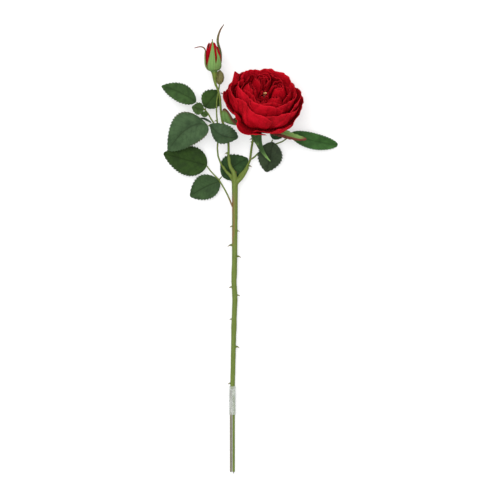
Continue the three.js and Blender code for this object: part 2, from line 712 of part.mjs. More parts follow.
// Leaflet: a folded, arched blade with a toothed edge
function leafBlade({ base, tip, width, bow = 0, arch = 2, fold = 12, roll = 0, teeth = 9, full = 0.8 }) {
  const foot = new THREE.Vector3(...base);
  const axis = new THREE.Vector3(...tip).sub(foot);
  const length = axis.length();
  axis.normalize();
  const up = new THREE.Vector3(0, 0, 1).applyAxisAngle(axis, degrees(roll));
  const side = new THREE.Vector3().crossVectors(up, axis).normalize();
  const normal = new THREE.Vector3().crossVectors(axis, side).normalize();
  const outline = (s) => 0.5 * width * Math.sin(Math.PI * Math.min(1, s) ** full) ** 0.72;
  const bladeAt = (s, across, spread = 1) => {
    const half = outline(s) * spread;
    const hump = Math.sin(Math.PI * s);
    return foot.clone()
      .addScaledVector(axis, s * length)
      .addScaledVector(side, bow * hump + across * half)
      .addScaledVector(normal, arch * hump + Math.abs(across) * half * Math.tan(degrees(fold)));
  };
  const corners = [];
  const keyed = new Map();
  const corner = (key, point) => {
    if (!keyed.has(key)) {
      keyed.set(key, corners.length);
      corners.push(point);
    }
    return keyed.get(key);
  };
  const rib = (i) => corner(`rib ${i}`, bladeAt(i / teeth, 0));
  const middle = (i, hand) => {
    if (i === 0 || i === teeth) return rib(i);
    return corner(`middle ${i} ${hand}`, bladeAt(i / teeth, 0.55 * hand));
  };
  const edge = (j, hand) => {
    if (j === 0) return rib(0);
    if (j === 2 * teeth) return rib(teeth);
    const s = j / (2 * teeth) + (j % 2 ? 0.012 : 0);
    return corner(`edge ${j} ${hand}`, bladeAt(s, hand, j % 2 ? 1.05 : 0.97));
  };
  const faces = [];
  const face = (a, b, c, hand) => {
    if (a === b || b === c || a === c) return;
    faces.push(...(hand > 0 ? [a, b, c] : [a, c, b]));
  };
  [1, -1].forEach((hand) => {
    for (let i = 0; i < teeth; i += 1) {
      face(rib(i), rib(i + 1), middle(i + 1, hand), hand);
      face(rib(i), middle(i + 1, hand), middle(i, hand), hand);
      face(middle(i, hand), edge(2 * i + 1, hand), edge(2 * i, hand), hand);
      face(middle(i, hand), middle(i + 1, hand), edge(2 * i + 1, hand), hand);
      face(middle(i + 1, hand), edge(2 * i + 2, hand), edge(2 * i + 1, hand), hand);
    }
  });
  const count = corners.length;
  const shift = normal.clone().multiplyScalar(leafThickness / 2);
  const upper = corners.map((point) => point.clone().add(shift));
  const lower = corners.map((point) => point.clone().sub(shift));
  const both = faces.slice();
  for (let i = 0; i < faces.length; i += 3) {
    both.push(count + faces[i], count + faces[i + 2], count + faces[i + 1]);
  }
  const border = [];
  for (let j = 0; j < 2 * teeth; j += 1) border.push(edge(j, 1));
  for (let j = 2 * teeth; j > 0; j -= 1) border.push(edge(j, -1));
  border.forEach((a, n) => {
    const b = border[(n + 1) % border.length];
    both.push(a, b, count + a, b, count + b, count + a);
  });
  return shellFrom(upper.concat(lower), both);
}

// A spray: one rachis with petioles, cut to a saddle on the stem that carries it, and its leaflets
function addSpray(name, carrier, rachis, petioles, leaves) {
  const taper = (t) => mix(rachisRadius, petioleRadius, t);
  const rods = [taperedRod(lineThrough(rachis), taper, 5, rachis.length)];
  petioles.forEach((points) => {
    rods.push(taperedRod(lineThrough(points), () => petioleRadius, 5, points.length - 1));
  });
  const joined = rods.map(solidOf).reduce((sum, rod) => sum.add(rod));
  addSolid(rose, `${name}_rachis`, joined.subtract(carrier), stemGreen());
  leaves.forEach((leaf, i) => {
    addPiece(rose, `${name}_leaf_${i + 1}`, leafBlade(leaf), leafGreen());
  });
}

const stemSleeve = solidOf(taperedRod(stemLine, (t) => stemRadiusAt(t) + seatGap, 8, 23));

addSpray('upper', sideBranch.sleeve,
  [[-20.4, 461, 17], [-27, 468.5, 17.5], [-31.7, 477, 18], [-36.8, 484.4, 18.4], [-43.5, 489, 19],
    [-48.6, 494.7, 19.6]],
  [
    [[-36.8, 484.4, 18.4], [-36.7, 486.7, 15.4]],
    [[-36.8, 484.4, 18.4], [-38.3, 484.2, 22.4]],
    [[-31.7, 477, 18], [-32, 477.1, 20.2]],
  ],
  [
    { base: [-49.2, 495.2, 19.6], tip: [-95.3, 516.6, 14],
      width: 25, bow: -3.6, arch: 3, fold: 9, teeth: 9 },
    { base: [-36.6, 487.4, 14.4], tip: [-18, 509.3, 11], width: 26, arch: 1, fold: 6, teeth: 8, full: 0.9 },
    { base: [-39, 484.2, 23], tip: [-54.8, 488.2, 23], width: 16.5, arch: 1, fold: 8, teeth: 5 },
    { base: [-33.4, 477.4, 20.9], tip: [-43.6, 480.2, 20], width: 8, arch: 0.5, fold: 6, teeth: 4 },
  ]);

addSpray('middle', sideBranch.sleeve,
  [[-19.8, 452, 16.5], [-25, 459, 19], [-30.5, 463.2, 20.8], [-33, 463.6, 21.4]],
  [
    [[-25, 459, 19], [-26.6, 463, 16.6], [-28.2, 466.6, 14.2]],
    [[-30.5, 463.2, 20.8], [-30.8, 464.6, 24.5]],
  ],
  [
    { base: [-33.7, 463.7, 21.6], tip: [-87, 431, 7],
      width: 50, bow: -9, arch: 7, fold: 14, teeth: 10, full: 0.7 },
    { base: [-30.7, 465, 25.2], tip: [5.6, 448.4, 27.5],
      width: 30, bow: -7, arch: 3, fold: 14, roll: -26, teeth: 8, full: 1.1 },
    { base: [-28.8, 467.3, 13.6], tip: [-46, 473.9, 13], width: 11, arch: 1, fold: 8, roll: 74, teeth: 5 },
  ]);

addSpray('lower', stemSleeve,
  [[2.4, 348, 11.3], [-2.7, 360.5, 13], [-6.7, 370, 12.5], [-11.4, 379, 11], [-16.1, 387, 9.6],
    [-18.7, 391.3, 9],
    [-26.5, 399.3, 8.6], [-32.1, 405.6, 8.8], [-35, 410, 9]],
  [
    [[-16.1, 387, 9.6], [-17.6, 388, 8.4]],
    [[-18.7, 391.3, 9], [-15.2, 395.6, 5.2]],
  ],
  [
    { base: [-35.5, 410.8, 9], tip: [-93, 428, 0.6],
      width: 39, bow: 0, arch: 1.5, fold: 7, teeth: 10, full: 0.72 },
    { base: [-18.5, 388.6, 7.4], tip: [-57.4, 368.9, 1],
      width: 34, bow: -3, arch: 1.5, fold: 6, teeth: 8, full: 0.9 },
    { base: [-14.7, 396.2, 4.8], tip: [19, 419, 1.6], width: 32, bow: 1.2, arch: 0.6, fold: 4, teeth: 8 },
  ]);

addSpray('right', bloomBranch.sleeve,
  [[22.9, 418, 7], [29.2, 422.4, 6], [34.3, 427.5, 6], [41.6, 432.2, 6.4], [49.6, 436.4, 7],
    [54.3, 438.4, 7.4],
    [61.7, 440.9, 8.4], [69.7, 444.6, 9.6], [76.4, 452, 10.6]],
  [
    [[54.3, 438.4, 7.4], [54.6, 441, 4.6]],
    [[49.6, 436.4, 7], [53, 445, 8.4]],
  ],
  [
    { base: [54.8, 440.6, 3.3], tip: [47, 402, 1.2],
      width: 31, bow: 0.6, arch: 0.6, fold: 4, teeth: 8, full: 0.86 },
    { base: [76.9, 452.6, 10.8], tip: [140, 438, 3],
      width: 22, bow: -1.2, arch: 4, fold: 14, roll: 12, full: 0.95 },
    { base: [53.4, 445.7, 8.4], tip: [70, 474, 4], width: 22, arch: 0.6, fold: 5, teeth: 6 },
  ]);

// The origin is the middle of the underside of the laid rose
rose.updateMatrixWorld(true);
const bounds = new THREE.Box3().setFromObject(rose, true);
const middle = bounds.getCenter(new THREE.Vector3());
rose.position.set(-middle.x, -middle.y, -bounds.min.z);
rose.updateMatrixWorld(true);

export default rose;
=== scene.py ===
# %% [markdown]
# # A red paper rose with its bud and leaves, laid on a white table
# The solid model comes in as a fixed frame, and this lesson gives it its looks. Petals and leaves are thin
# sheets. They could be sculpted by hand or draped in a cloth simulation. Here each is a flat grid that is
# bent by a function of two numbers, *across* and *along*, because every fold then hangs on one value that
# can be changed. Lengths are metres, as in Blender, unless a name or a sentence says mm.

# %% Load the frame
import json
import math

import bpy
import numpy as np
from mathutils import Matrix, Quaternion, Vector

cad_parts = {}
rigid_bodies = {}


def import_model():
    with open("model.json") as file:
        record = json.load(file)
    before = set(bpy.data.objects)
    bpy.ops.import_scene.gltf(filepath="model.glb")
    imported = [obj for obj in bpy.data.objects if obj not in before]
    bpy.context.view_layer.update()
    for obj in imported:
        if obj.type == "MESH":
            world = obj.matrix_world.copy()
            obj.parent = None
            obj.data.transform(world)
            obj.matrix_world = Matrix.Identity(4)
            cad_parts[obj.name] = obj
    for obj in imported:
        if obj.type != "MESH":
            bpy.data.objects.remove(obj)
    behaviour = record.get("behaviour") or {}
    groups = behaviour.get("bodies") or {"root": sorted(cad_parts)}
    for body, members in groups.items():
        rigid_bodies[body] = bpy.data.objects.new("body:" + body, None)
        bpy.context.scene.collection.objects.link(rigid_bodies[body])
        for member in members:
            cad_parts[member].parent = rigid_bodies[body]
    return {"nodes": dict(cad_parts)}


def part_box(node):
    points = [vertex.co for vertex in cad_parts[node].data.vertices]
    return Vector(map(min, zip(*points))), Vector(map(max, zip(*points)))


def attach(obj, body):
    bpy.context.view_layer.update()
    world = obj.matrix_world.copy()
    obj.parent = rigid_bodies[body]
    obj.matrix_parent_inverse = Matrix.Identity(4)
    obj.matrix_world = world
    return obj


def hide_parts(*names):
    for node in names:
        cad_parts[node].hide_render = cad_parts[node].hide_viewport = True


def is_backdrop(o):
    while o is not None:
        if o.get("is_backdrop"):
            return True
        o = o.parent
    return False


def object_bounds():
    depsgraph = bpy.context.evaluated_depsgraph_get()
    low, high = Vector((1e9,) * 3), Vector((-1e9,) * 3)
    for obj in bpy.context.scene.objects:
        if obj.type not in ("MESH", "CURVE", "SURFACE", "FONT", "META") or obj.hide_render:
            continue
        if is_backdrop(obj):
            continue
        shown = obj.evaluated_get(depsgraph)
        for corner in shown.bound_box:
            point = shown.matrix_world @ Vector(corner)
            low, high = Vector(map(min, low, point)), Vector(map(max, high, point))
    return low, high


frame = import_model()
low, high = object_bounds()
START_SIZE = [list(low), list(high)]
print("frame nodes:", len(frame["nodes"]))
print("frame size in mm:", [round((b - a) * 1000, 1) for a, b in zip(low, high)])

# %% [markdown]
# ## Where the drawing's millimetres lie in the frame
# The rose was drawn in millimetres from the foot of its stem, with y up the stem and z above the table. The
# frame has its origin in the middle of the whole rose, so `SHIFT` moves the drawing there. All points below
# stay in the drawing's millimetres, which are easy to read, and are turned into the frame's metres last.

# %% From the drawing to the frame
SHIFT = np.array([-22.346, -297.881, 0])


def to_frame(points_mm):
    return (np.asarray(points_mm, float) + SHIFT) * 0.001


# %% [markdown]
# ## Small curves that shape everything
# `ease` runs smoothly from 0 to 1, and `ramp` does so between two values. `bell` is a soft bump, `bezier`
# follows four control points as Blender's own curves do, and `wave` adds a few sines of different lengths.
# A random number would also look irregular, but the waves join up and are the same on every run.

# %% Ease, ramp, mix and bell
def ease(value):
    value = np.clip(value, 0, 1)
    return value * value * (3 - 2 * value)


def ramp(value, start, end):
    return ease((value - start) / (end - start))


def mix(a, b, share):
    return a + (b - a) * share


def bell(value, middle, width):
    return np.exp(-(((value - middle) / width) ** 2))


print("a ramp in five steps:", ramp(np.linspace(0, 1, 5), 0, 1).round(3))


# %% Bezier and wave
def bezier(points, t):
    s = 1 - t
    weights = [s**3, 3 * s * s * t, 3 * s * t * t, t**3]
    return [sum(w * p[k] for w, p in zip(weights, points)) for k in (0, 1)]


def wave(x, seed):
    second = 0.6 * np.sin(2.3 * x + 2.1 * seed)
    third = 0.4 * np.sin(4.1 * x + 0.7 * seed)
    return (np.sin(x + seed) + second + third) / 2


print("a wave in five steps:", wave(np.linspace(0, 6, 5), 1).round(2))

# %% [markdown]
# ## Which way a bent grid faces
# Curls, ruffles and creases push the paper along its normal. Blender knows the normals only after the mesh
# is made, so they are worked out here from the grid's own rows and columns, before any vertex moves. A
# small sample grid tries out each new surface: `rim_middle` says where the middle of its rim comes to lie.

# %% Normals of a grid of points
def normals_of(points):
    sideways = np.gradient(points, axis=1)
    forwards = np.gradient(points, axis=0)
    normal = np.cross(sideways, forwards)
    length = np.linalg.norm(normal, axis=2, keepdims=True)
    return normal / np.maximum(length, 1e-12)


SAMPLE = np.meshgrid(np.linspace(-1, 1, 9), np.linspace(0, 1, 9))


def rim_middle(surface):
    return surface(*SAMPLE)[-1, 4].round(1)


flat_patch = np.stack([*SAMPLE, 0 * SAMPLE[0]], axis=-1)
print("a flat patch faces:", normals_of(flat_patch)[4, 4])

# %% [markdown]
# ## A sheet of paper from a grid
# The grid primitive brings its own UV map, which stays on the paper however it is bent, so the textures can
# follow the sheet. Each vertex is sorted into its row and column, and the surface function says where it
# goes. The Solidify modifier then gives the sheet its thickness on both sides. A colour that changes over
# the sheet is kept in an attribute named `tone`.

# %% Selection and modifiers
def select_only(piece):
    bpy.ops.object.select_all(action="DESELECT")
    piece.select_set(True)
    bpy.context.view_layer.objects.active = piece


def apply_modifier(piece, name, kind, **settings):
    modifier = piece.modifiers.new(name, kind)
    for key, value in settings.items():
        setattr(modifier, key, value)
    bpy.ops.object.modifier_apply(modifier=modifier.name)


def belongs(piece, slot, *nodes):
    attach(piece, "root")
    if nodes:
        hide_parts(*nodes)
    return piece


# %% Rows and columns of the grid
def sorted_grid(mesh, columns, rows):
    spots = np.empty(len(mesh.vertices) * 3)
    mesh.vertices.foreach_get("co", spots)
    spots = spots.reshape(-1, 3)
    order = np.lexsort((spots[:, 0].round(5), spots[:, 1].round(5)))
    across = spots[order, 0].reshape(rows + 1, columns + 1)
    along = (spots[order, 1].reshape(rows + 1, columns + 1) + 1) / 2
    return order, across, along


def move_vertices(mesh, spots):
    mesh.vertices.foreach_set("co", spots.ravel())
    mesh.update()


# %% The sheet itself
def make_sheet(name, columns, rows, surface, thickness_mm, node=None, slot="petals", tone=None):
    bpy.ops.object.select_all(action="DESELECT")
    bpy.ops.mesh.primitive_grid_add(x_subdivisions=columns, y_subdivisions=rows, size=2)
    piece = bpy.context.object
    piece.name = name
    mesh = piece.data
    order, across, along = sorted_grid(mesh, columns, rows)
    spots = np.empty((len(order), 3))
    spots[order] = to_frame(surface(across, along).reshape(-1, 3))
    move_vertices(mesh, spots)
    if tone:
        colour = np.ones((len(order), 4))
        colour[order, :3] = tone(across, along).reshape(-1, 3)
        mesh.attributes.new("tone", "FLOAT_COLOR", "POINT").data.foreach_set("color", colour.ravel())
    select_only(piece)
    apply_modifier(piece, "paper thickness", "SOLIDIFY", thickness=thickness_mm * 0.001, offset=0)
    bpy.ops.object.shade_smooth()
    return belongs(piece, slot, node) if node else belongs(piece, slot)


# %% [markdown]
# ## The flowers' own frames
# The bloom leans to the right and looks up at the camera, and the bud points almost along the table. It is
# easier to draw a flower standing upright and to turn the finished points than to draw it leaning. Each
# frame takes a place in the flower, with z along its axis, to a place in the drawing.

# %% Frames of the bloom and the bud
def flower_frame(centre, lean, rise):
    lean, rise = math.radians(lean), math.radians(rise)
    axis = np.array([math.sin(lean) * math.cos(rise), math.cos(lean) * math.cos(rise), math.sin(rise)])
    right = np.array([math.cos(lean), -math.sin(lean), 0])
    back = np.cross(axis, right)
    turned = np.stack([right, back, axis])
    return lambda local: local @ turned + np.array(centre)


bloom = flower_frame([40.2, 495.8, 50.1], 15, 41)
bud = flower_frame([-25.1, 537.5, 31], -5, 8)
print("tip of the bloom's axis:", bloom(np.array([0, 0, 20])).round(1))
print("tip of the bud's axis:", bud(np.array([0, 0, 38])).round(1))

# %% [markdown]
# ## A bowl that is not quite round
# A real open rose is never a turned shape. Its rim is waved and lifts or dips in three places, and its left
# side is pinched to a point and pushed in below it. All the bloom's petals pass through this one function,
# so that they are pushed about together and still lie one inside the other. Dents made petal by petal
# would let neighbours cut through each other. Here bearings are in radians, and `BOWL` is the radius of
# the rim in mm.

# %% Bearings around a flower
BOWL = 50


def around(radius, turn, height):
    return np.stack([radius * np.cos(turn), radius * np.sin(turn), height + 0 * radius], axis=-1)


print("a quarter turn round the rim:", around(np.array(BOWL), math.pi / 2, 0).round(1))


# %% The uneven bowl
def uneven(radius, turn, height):
    reach = (radius / BOWL) ** 2
    waves = 0.03 * np.sin(2 * turn + 0.6) + 0.018 * np.sin(5 * turn + 0.05 * height)
    pinch = 0.22 * reach * bell(turn, 2.8, 0.22) * (1 - ramp(height, 8, 26)) * ramp(height, 2, 10)
    left_dent, right_dent = 13.5 * bell(turn, 3.86, 0.42), 3 * bell(turn, 5.35, 0.3)
    wide = radius * (1 + waves - pinch) - (left_dent + right_dent) * ease(radius / BOWL) ** 2
    hitch = 4 * bell(turn, 5.1, 0.3) - 3.5 * bell(turn, 2.1, 0.2) + 4 * bell(turn, 1.6, 0.22)
    lift = reach * (1.5 * np.sin(3 * turn + 1.2) + 1.1 * np.sin(8 * turn + 0.3) + hitch)
    return around(wide, turn + 0.05 * np.sin(height / 15), height + lift)


sixths = np.radians(np.arange(0, 360, 60))
rim_places = uneven(BOWL + 0 * sixths, sixths, 10 + 0 * sixths)
print("rim radius every sixth of a turn:", np.linalg.norm(rim_places[:, :2], axis=1).round(1))

# %% [markdown]
# ## Three whorls of cup petals
# The real flower has sixteen broad petals in three rings. Each ring follows one profile of radius and
# height at the back and another at the front, and a petal between them takes a share of both. A profile is
# four control points in mm. A petal is (bearing in degrees, rim, point, flare, roll): how far up its rim
# comes, how pointed it is, how far it leans out, and how far its rim rolls back where it differs from the
# ring's own. `half` is half of its width in degrees.

# %% Profiles and petals of the whorls
WHORLS = [
    dict(name="cup_petal", half=50, roll=1.4,
         back=[[5.6, -20], [40, -26], [41, 2], [38, 25]],
         front=[[5.6, -20], [38, -25], [39.5, -2], [35.5, 22.5]],
         petals=[(128, 0.96, 0.02), (200, 0.95, 0), (272, 0.96, 0), (344, 0.94, 0.02), (56, 1, 0)]),
    dict(name="shoulder_petal", half=50, roll=1.6,
         back=[[7.1, -24], [48, -30], [47, -2], [45, 20]],
         front=[[7.1, -24], [43, -32], [50, -8], [41, 16.5]],
         petals=[(162, 0.9, 0.22, 5.5), (246, 0.9, 0.02), (316, 0.87, 0.03), (20, 0.95, 0),
                 (92, 0.92, 0.02)]),
    dict(name="guard_petal", half=41, roll=2.8,
         back=[[8.6, -28], [54, -36], [53, -10], [49, 13]],
         front=[[8.6, -28], [34, -35], [46, -28], [49.5, -15]],
         petals=[(187, 0.92, 0.2, 5, 2), (252, 1, 0.05, 6, 6), (311, 0.88, 0, -3.5, 0.6), (5, 1, 0),
                 (62, 0.97, 0), (125, 0.93, 0)]),
]
print("broad petals to make:", sum(len(whorl["petals"]) for whorl in WHORLS))

# %% [markdown]
# ## What the paper does between claw and rim
# Cut paper that is pulled over a thumb keeps soft hollows, and its free rim ruffles. A few long creases run
# up each petal. They could be left to a bump texture, but real creases change the outline and catch the
# light from every side, so they are pushed into the sheet itself. `seed` makes each petal its own.

# %% Hollows, creases and ruffles
CREASES, CREASE_DEPTH, CREASE_WIDTH = 4, 1.2, 0.07


def creases(across, along, seed):
    depth = 0
    for k in range(CREASES):
        slope = 0.9 * math.sin(2.1 * seed + k)
        middle = 0.45 * k - 0.68 + 0.2 * math.sin(seed * (k + 1)) - slope * (along - 0.7)
        depth = depth + CREASE_DEPTH * bell(across, middle, CREASE_WIDTH) * ramp(along, 0.35, 0.65)
    return depth


def relief(across, along, seed):
    ruffle = 0.9 * ramp(along, 0.62, 1) * wave(6.5 * across + 2 * along, seed + 4)
    hollow = wave(3 * across + 5 * along, seed + 7) * ease(along * 2)
    return ruffle + hollow - creases(across, along, seed)


probe = np.linspace(-1, 1, 5)
print("relief in mm near the rim:", relief(probe, 0.9 + 0 * probe, 1.7).round(2))

# %% [markdown]
# ## One broad petal
# A petal starts as a narrow claw on the flower's core and widens over its lower half. It climbs outwards
# from its one edge to its other, so that it tucks under one neighbour and over the next, like a shingle.

# %% The petal's surface
CLAW = 0.34
CLIMB = 1.75 * math.sqrt(0.5)


def petal_surface(whorl, seed, turn_at, rim, point, flare=0, rolled=None):
    rounding = whorl.get("round", 0.14)
    roll_mm = rolled or whorl["roll"]

    def surface(across, along):
        share = across * mix(CLAW, 1, ramp(along, 0, 0.55))
        turn = np.radians(turn_at + whorl["half"] * share)
        front = 0.5 - 0.5 * np.sin(turn)
        ragged = 0.014 * wave(6 * across, seed) + 0.005 * wave(19 * across, seed + 2)
        crown = 1 - rounding * np.abs(across) ** 3.4 + point * bell(across, 0, 0.2) + ragged
        back_radius, back_height = bezier(whorl["back"], along * rim * crown)
        front_radius, front_height = bezier(whorl["front"], along * rim * crown)
        lean = flare * bell(across, 0.1, 0.3) * ease(2 * along - 1)
        radius = mix(back_radius, front_radius, front) + CLIMB * share + lean
        points = uneven(radius, turn, mix(back_height, front_height, front) - CLIMB * share)
        roll = roll_mm * np.clip((along - 0.72) / 0.28, 0, 1) ** 2 * (1 - 0.7 * across**6)
        return bloom(points + normals_of(points) * (roll + relief(across, along, seed))[..., None])

    return surface


print("rim of a cup petal in mm:", rim_middle(petal_surface(WHORLS[0], 1, 128, 0.96, 0.02)))


# %% Make the three whorls
petal_count = 0
for whorl in WHORLS:
    for index, petal in enumerate(whorl["petals"], 1):
        petal_count += 1
        node = f"{whorl['name']}_{index}"
        make_sheet(f"visual_{node}", 56, 40, petal_surface(whorl, 1.7 * petal_count, *petal), 0.5, node)
print("broad petals made:", petal_count)

# %% [markdown]
# ## Two whorls for a closer look
# From a step closer the space behind the heart would be empty. One more ring of smaller petals fills it,
# and a tight ring hides the stalk under the stamens. Both curl inwards, so their roll is negative.

# %% Make the inner whorls
INNER_WHORLS = [
    dict(name="inner_cup", half=42, roll=-0.8, round=0.2,
         back=[[5, -17], [37, -21], [37.5, 3], [31, 23]],
         front=[[5, -17], [35, -20], [36.5, -2], [30, 20]],
         petals=[(150, 0.97, 0.03), (228, 1, 0), (296, 0.98, 0.02), (8, 1, 0), (78, 0.96, 0.03)]),
    dict(name="centre", half=48, roll=-0.3, round=0.25,
         back=[[3, -12], [8, -13], [8.5, 0], [4.6, 14]],
         front=[[3, -12], [8, -13], [8.5, 0], [4.2, 13]],
         petals=[(30, 1, 0), (100, 0.95, 0.04), (172, 1, 0), (244, 0.9, 0.03), (316, 0.96, 0)]),
]
for whorl in INNER_WHORLS:
    for index, petal in enumerate(whorl["petals"], 1):
        petal_count += 1
        surface = petal_surface(whorl, 1.7 * petal_count, *petal)
        make_sheet(f"inner_fold_{whorl['name']}_{index}", 44, 30, surface, 0.4)
print("with the inner whorls:", petal_count)

# %% [markdown]
# ## The heart: petals folded to a U
# In the middle of an old garden rose the petals are folded double and stand in four or five quarters, each
# fold inside the next. `half` is half of a quarter's width in degrees, `top` its height in mm, and `curl`
# how far its rims bend inwards. Folds 0, 1 and 2 stand for the frame's own nodes. The half folds between
# them are thinner and only fill the bowl, so that no gap looks down to the core.

# %% The five quarters
QUARTERS = [
    dict(turn=194, half=41, folds=3, top=24, curl=0.55, between=[0.5, 1.5]),
    dict(turn=112, half=36, folds=2, top=24, curl=0.2, between=[0.5, 1.5, 2.1]),
    dict(turn=42, half=30, folds=1, top=22, curl=0.4, between=[0.5, 1.0, 1.6]),
    dict(turn=322, half=31, folds=3, top=21, curl=0.6, between=[0.5, 1.5, 2.6]),
    dict(turn=259, half=29, folds=1, top=14, curl=0.35, between=[0.5, 1.0, 1.6]),
]
print("folds to make:", sum(quarter["folds"] + len(quarter["between"]) for quarter in QUARTERS))

# %% [markdown]
# ## One folded petal
# Seen from above, the sheet runs from the middle of the flower out to its bend and back again. That path is
# a squashed cosine of `sweep`, so the U needs no separate sides and bottom. A deeper fold is narrower.

# %% The fold's surface
def heart_surface(quarter, fold, seed):
    half = quarter["half"] * (1 - 0.32 * fold)
    bend, mouth = 32.5 - 6 * fold, 7 + 1.6 * fold
    middle, lift = (bend + mouth) / 2, 1.5 * fold
    top = quarter["top"] - 4.8 * fold * quarter["curl"]
    profile = [[0.2, -16.5 + lift], [1, -14 + lift], [1.02, 4 + lift], [0.96, top]]

    def surface(across, along):
        sweep = np.radians(88) * across * mix(CLAW, 1, ramp(along, 0, 0.55))
        ragged = (0.06 * wave(3 * across, seed) + 0.02 * wave(11 * across, seed)) * along
        scale, height = bezier(profile, along * (1 - 0.1 * across * across + ragged))
        tuck = 1 - quarter["curl"] * np.maximum(0, (along - 0.62) / 0.38) ** 2
        radius = middle + (mouth + (bend - mouth) * np.cos(sweep) ** 0.7 - middle) * tuck
        turn = np.radians(quarter["turn"] + half * np.sin(1.3 * sweep) * tuck)
        points = uneven(radius * scale, turn, height)
        ruffle = 1.3 * ramp(along, 0.35, 1) * wave(4 * across + 2 * along, seed + 3)
        return bloom(points + normals_of(points) * ruffle[..., None])

    return surface


print("rim of a fold in mm:", rim_middle(heart_surface(QUARTERS[0], 0, 1)))


# %% Make the heart
for number, quarter in enumerate(QUARTERS, 1):
    for fold in range(quarter["folds"]):
        node = f"heart_petal_{number}{'abc'[fold]}"
        make_sheet(f"visual_{node}", 48, 32, heart_surface(quarter, fold, 2.3 * number + fold), 0.5, node)
    for fold in quarter["between"]:
        name = f"inner_fold_{number}_{round(fold * 10)}"
        make_sheet(name, 40, 28, heart_surface(quarter, fold, 3.1 * number + fold), 0.4)
folds_made = [piece for piece in bpy.data.objects if piece.name.startswith("visual_heart")]
print("folds in the frame's own places:", len(folds_made))

# %% [markdown]
# ## The bud's petals
# The bud shows three petals that are rolled round its heart, each tucked under the next. They could be one
# turned shape with grooves, but then no edge would stand free at the tip, where the bud starts to open.

# %% Make the bud's petals
def bud_profile(swell):
    foot, belly = [2.6 + swell * 0.5, 1.2 - swell], [11.47 + swell, 3 - swell]
    return [foot, belly, [8.51 + swell, 27], [1.2 + swell, 38]]


def bud_surface(turn_at, rim, seed):
    def surface(across, along):
        share = across * mix(0.5, 1, ease(along * 2))
        crown = 1 - 0.3 * across * across + 0.03 * wave(6 * across, seed)
        radius, height = bezier(bud_profile(1.75 + 0.95 * share), along * rim * crown)
        points = around(radius, np.radians(turn_at + 74 * share), height)
        ruffle = 0.3 * ramp(along, 0.6, 1) * wave(7 * across, seed)
        return bud(points + normals_of(points) * ruffle[..., None])

    return surface


for index, (turn_at, rim) in enumerate([(282, 0.98), (42, 0.93), (162, 0.96)], 1):
    node = f"bud_petal_{index}"
    make_sheet(f"visual_{node}", 40, 32, bud_surface(turn_at, rim, 1.3 * index), 0.5, node)
print("bud petals made:", index)

# %% [markdown]
# ## Thirteen leaflets
# Each leaflet is given by its base, its tip and its width in mm. `bow` bends it sideways, `arch` lifts its
# middle, `fold` is the angle in degrees at which its halves rise from the midrib, and `roll` turns it about
# its own length. `full` moves its widest place, `early` the middle of its bend, and `blunt` rounds its ends.

# %% Table of leaflets
LEAVES = [
    dict(node="upper_leaf_1", base=(-49.2, 495.2, 19.6), tip=(-95.3, 516.6, 14), width=25, bow=-2.3, arch=3,
         fold=9),
    dict(node="upper_leaf_2", base=(-38, 488, 14.4), tip=(-19.5, 510.6, 11), width=28, arch=1, fold=6,
         full=0.9),
    dict(node="upper_leaf_3", base=(-39, 484.2, 23), tip=(-54.8, 488.2, 23), width=16.5, arch=1, fold=8),
    dict(node="upper_leaf_4", base=(-33.4, 477.4, 20.9), tip=(-43.6, 480.2, 20), width=8, arch=0.5, fold=6),
    dict(node="middle_leaf_1", base=(-33.7, 463.7, 21.6), tip=(-87, 431, 7), width=46, bow=-10.5, arch=7,
         fold=14, full=0.66, early=0.68),
    dict(node="middle_leaf_2", base=(-30.7, 465, 25.2), tip=(6.6, 446.8, 27.5), width=30, bow=-8, arch=3,
         fold=14, roll=-26, full=1.1),
    dict(node="middle_leaf_3", base=(-28.8, 467.3, 13.6), tip=(-46, 473.9, 13), width=11, arch=1, fold=8,
         roll=74),
    dict(node="lower_leaf_1", base=(-34.6, 410.8, 9), tip=(-93, 427, 0.6), width=40.5, bow=0.6, arch=1.5,
         fold=7, full=0.72),
    dict(node="lower_leaf_2", base=(-17.5, 389.6, 7.4), tip=(-57.4, 369.4, 1), width=34, bow=-1.8, arch=1.5,
         fold=6, full=0.84),
    dict(node="lower_leaf_3", base=(-14.7, 396.2, 4.8), tip=(20, 420, 1.6), width=35, bow=2, arch=0.6,
         fold=4),
    dict(node="right_leaf_1", base=(53, 442, 11.5), tip=(44.6, 402, 4), width=33, bow=0.6, arch=1.5,
         fold=4, full=0.86),
    dict(node="right_leaf_2", base=(76.9, 452.6, 10.8), tip=(140, 438, 3), width=22, bow=-1.2, arch=4,
         fold=14, roll=12, full=0.9, blunt=0.5),
    dict(node="right_leaf_3", base=(53.4, 445.7, 8.4), tip=(70, 474, 4), width=22, arch=0.6, fold=5),
]
print("leaflets to make:", len(LEAVES))

# %% [markdown]
# ## One serrated leaflet
# A leaflet could be cut from a flat outline, but its edge would then cross the grid and shade badly. Here
# the grid's own edge is the leaf's edge: the half width follows a blunted sine, and a sawtooth on top of it
# makes the teeth, which lean towards the tip and grow only at the outermost columns.

# %% The leaflet's surface
TOOTH_SPACING, TOOTH_SLANT = 3.8, 0.006


def leaf_axes(foot, end, roll):
    axis = (end - foot) / np.linalg.norm(end - foot)
    upright = Vector((0, 0, 1))
    upright.rotate(Quaternion(axis, math.radians(roll)))
    side = np.cross(upright, axis)
    side /= np.linalg.norm(side)
    return axis, side, np.cross(axis, side)


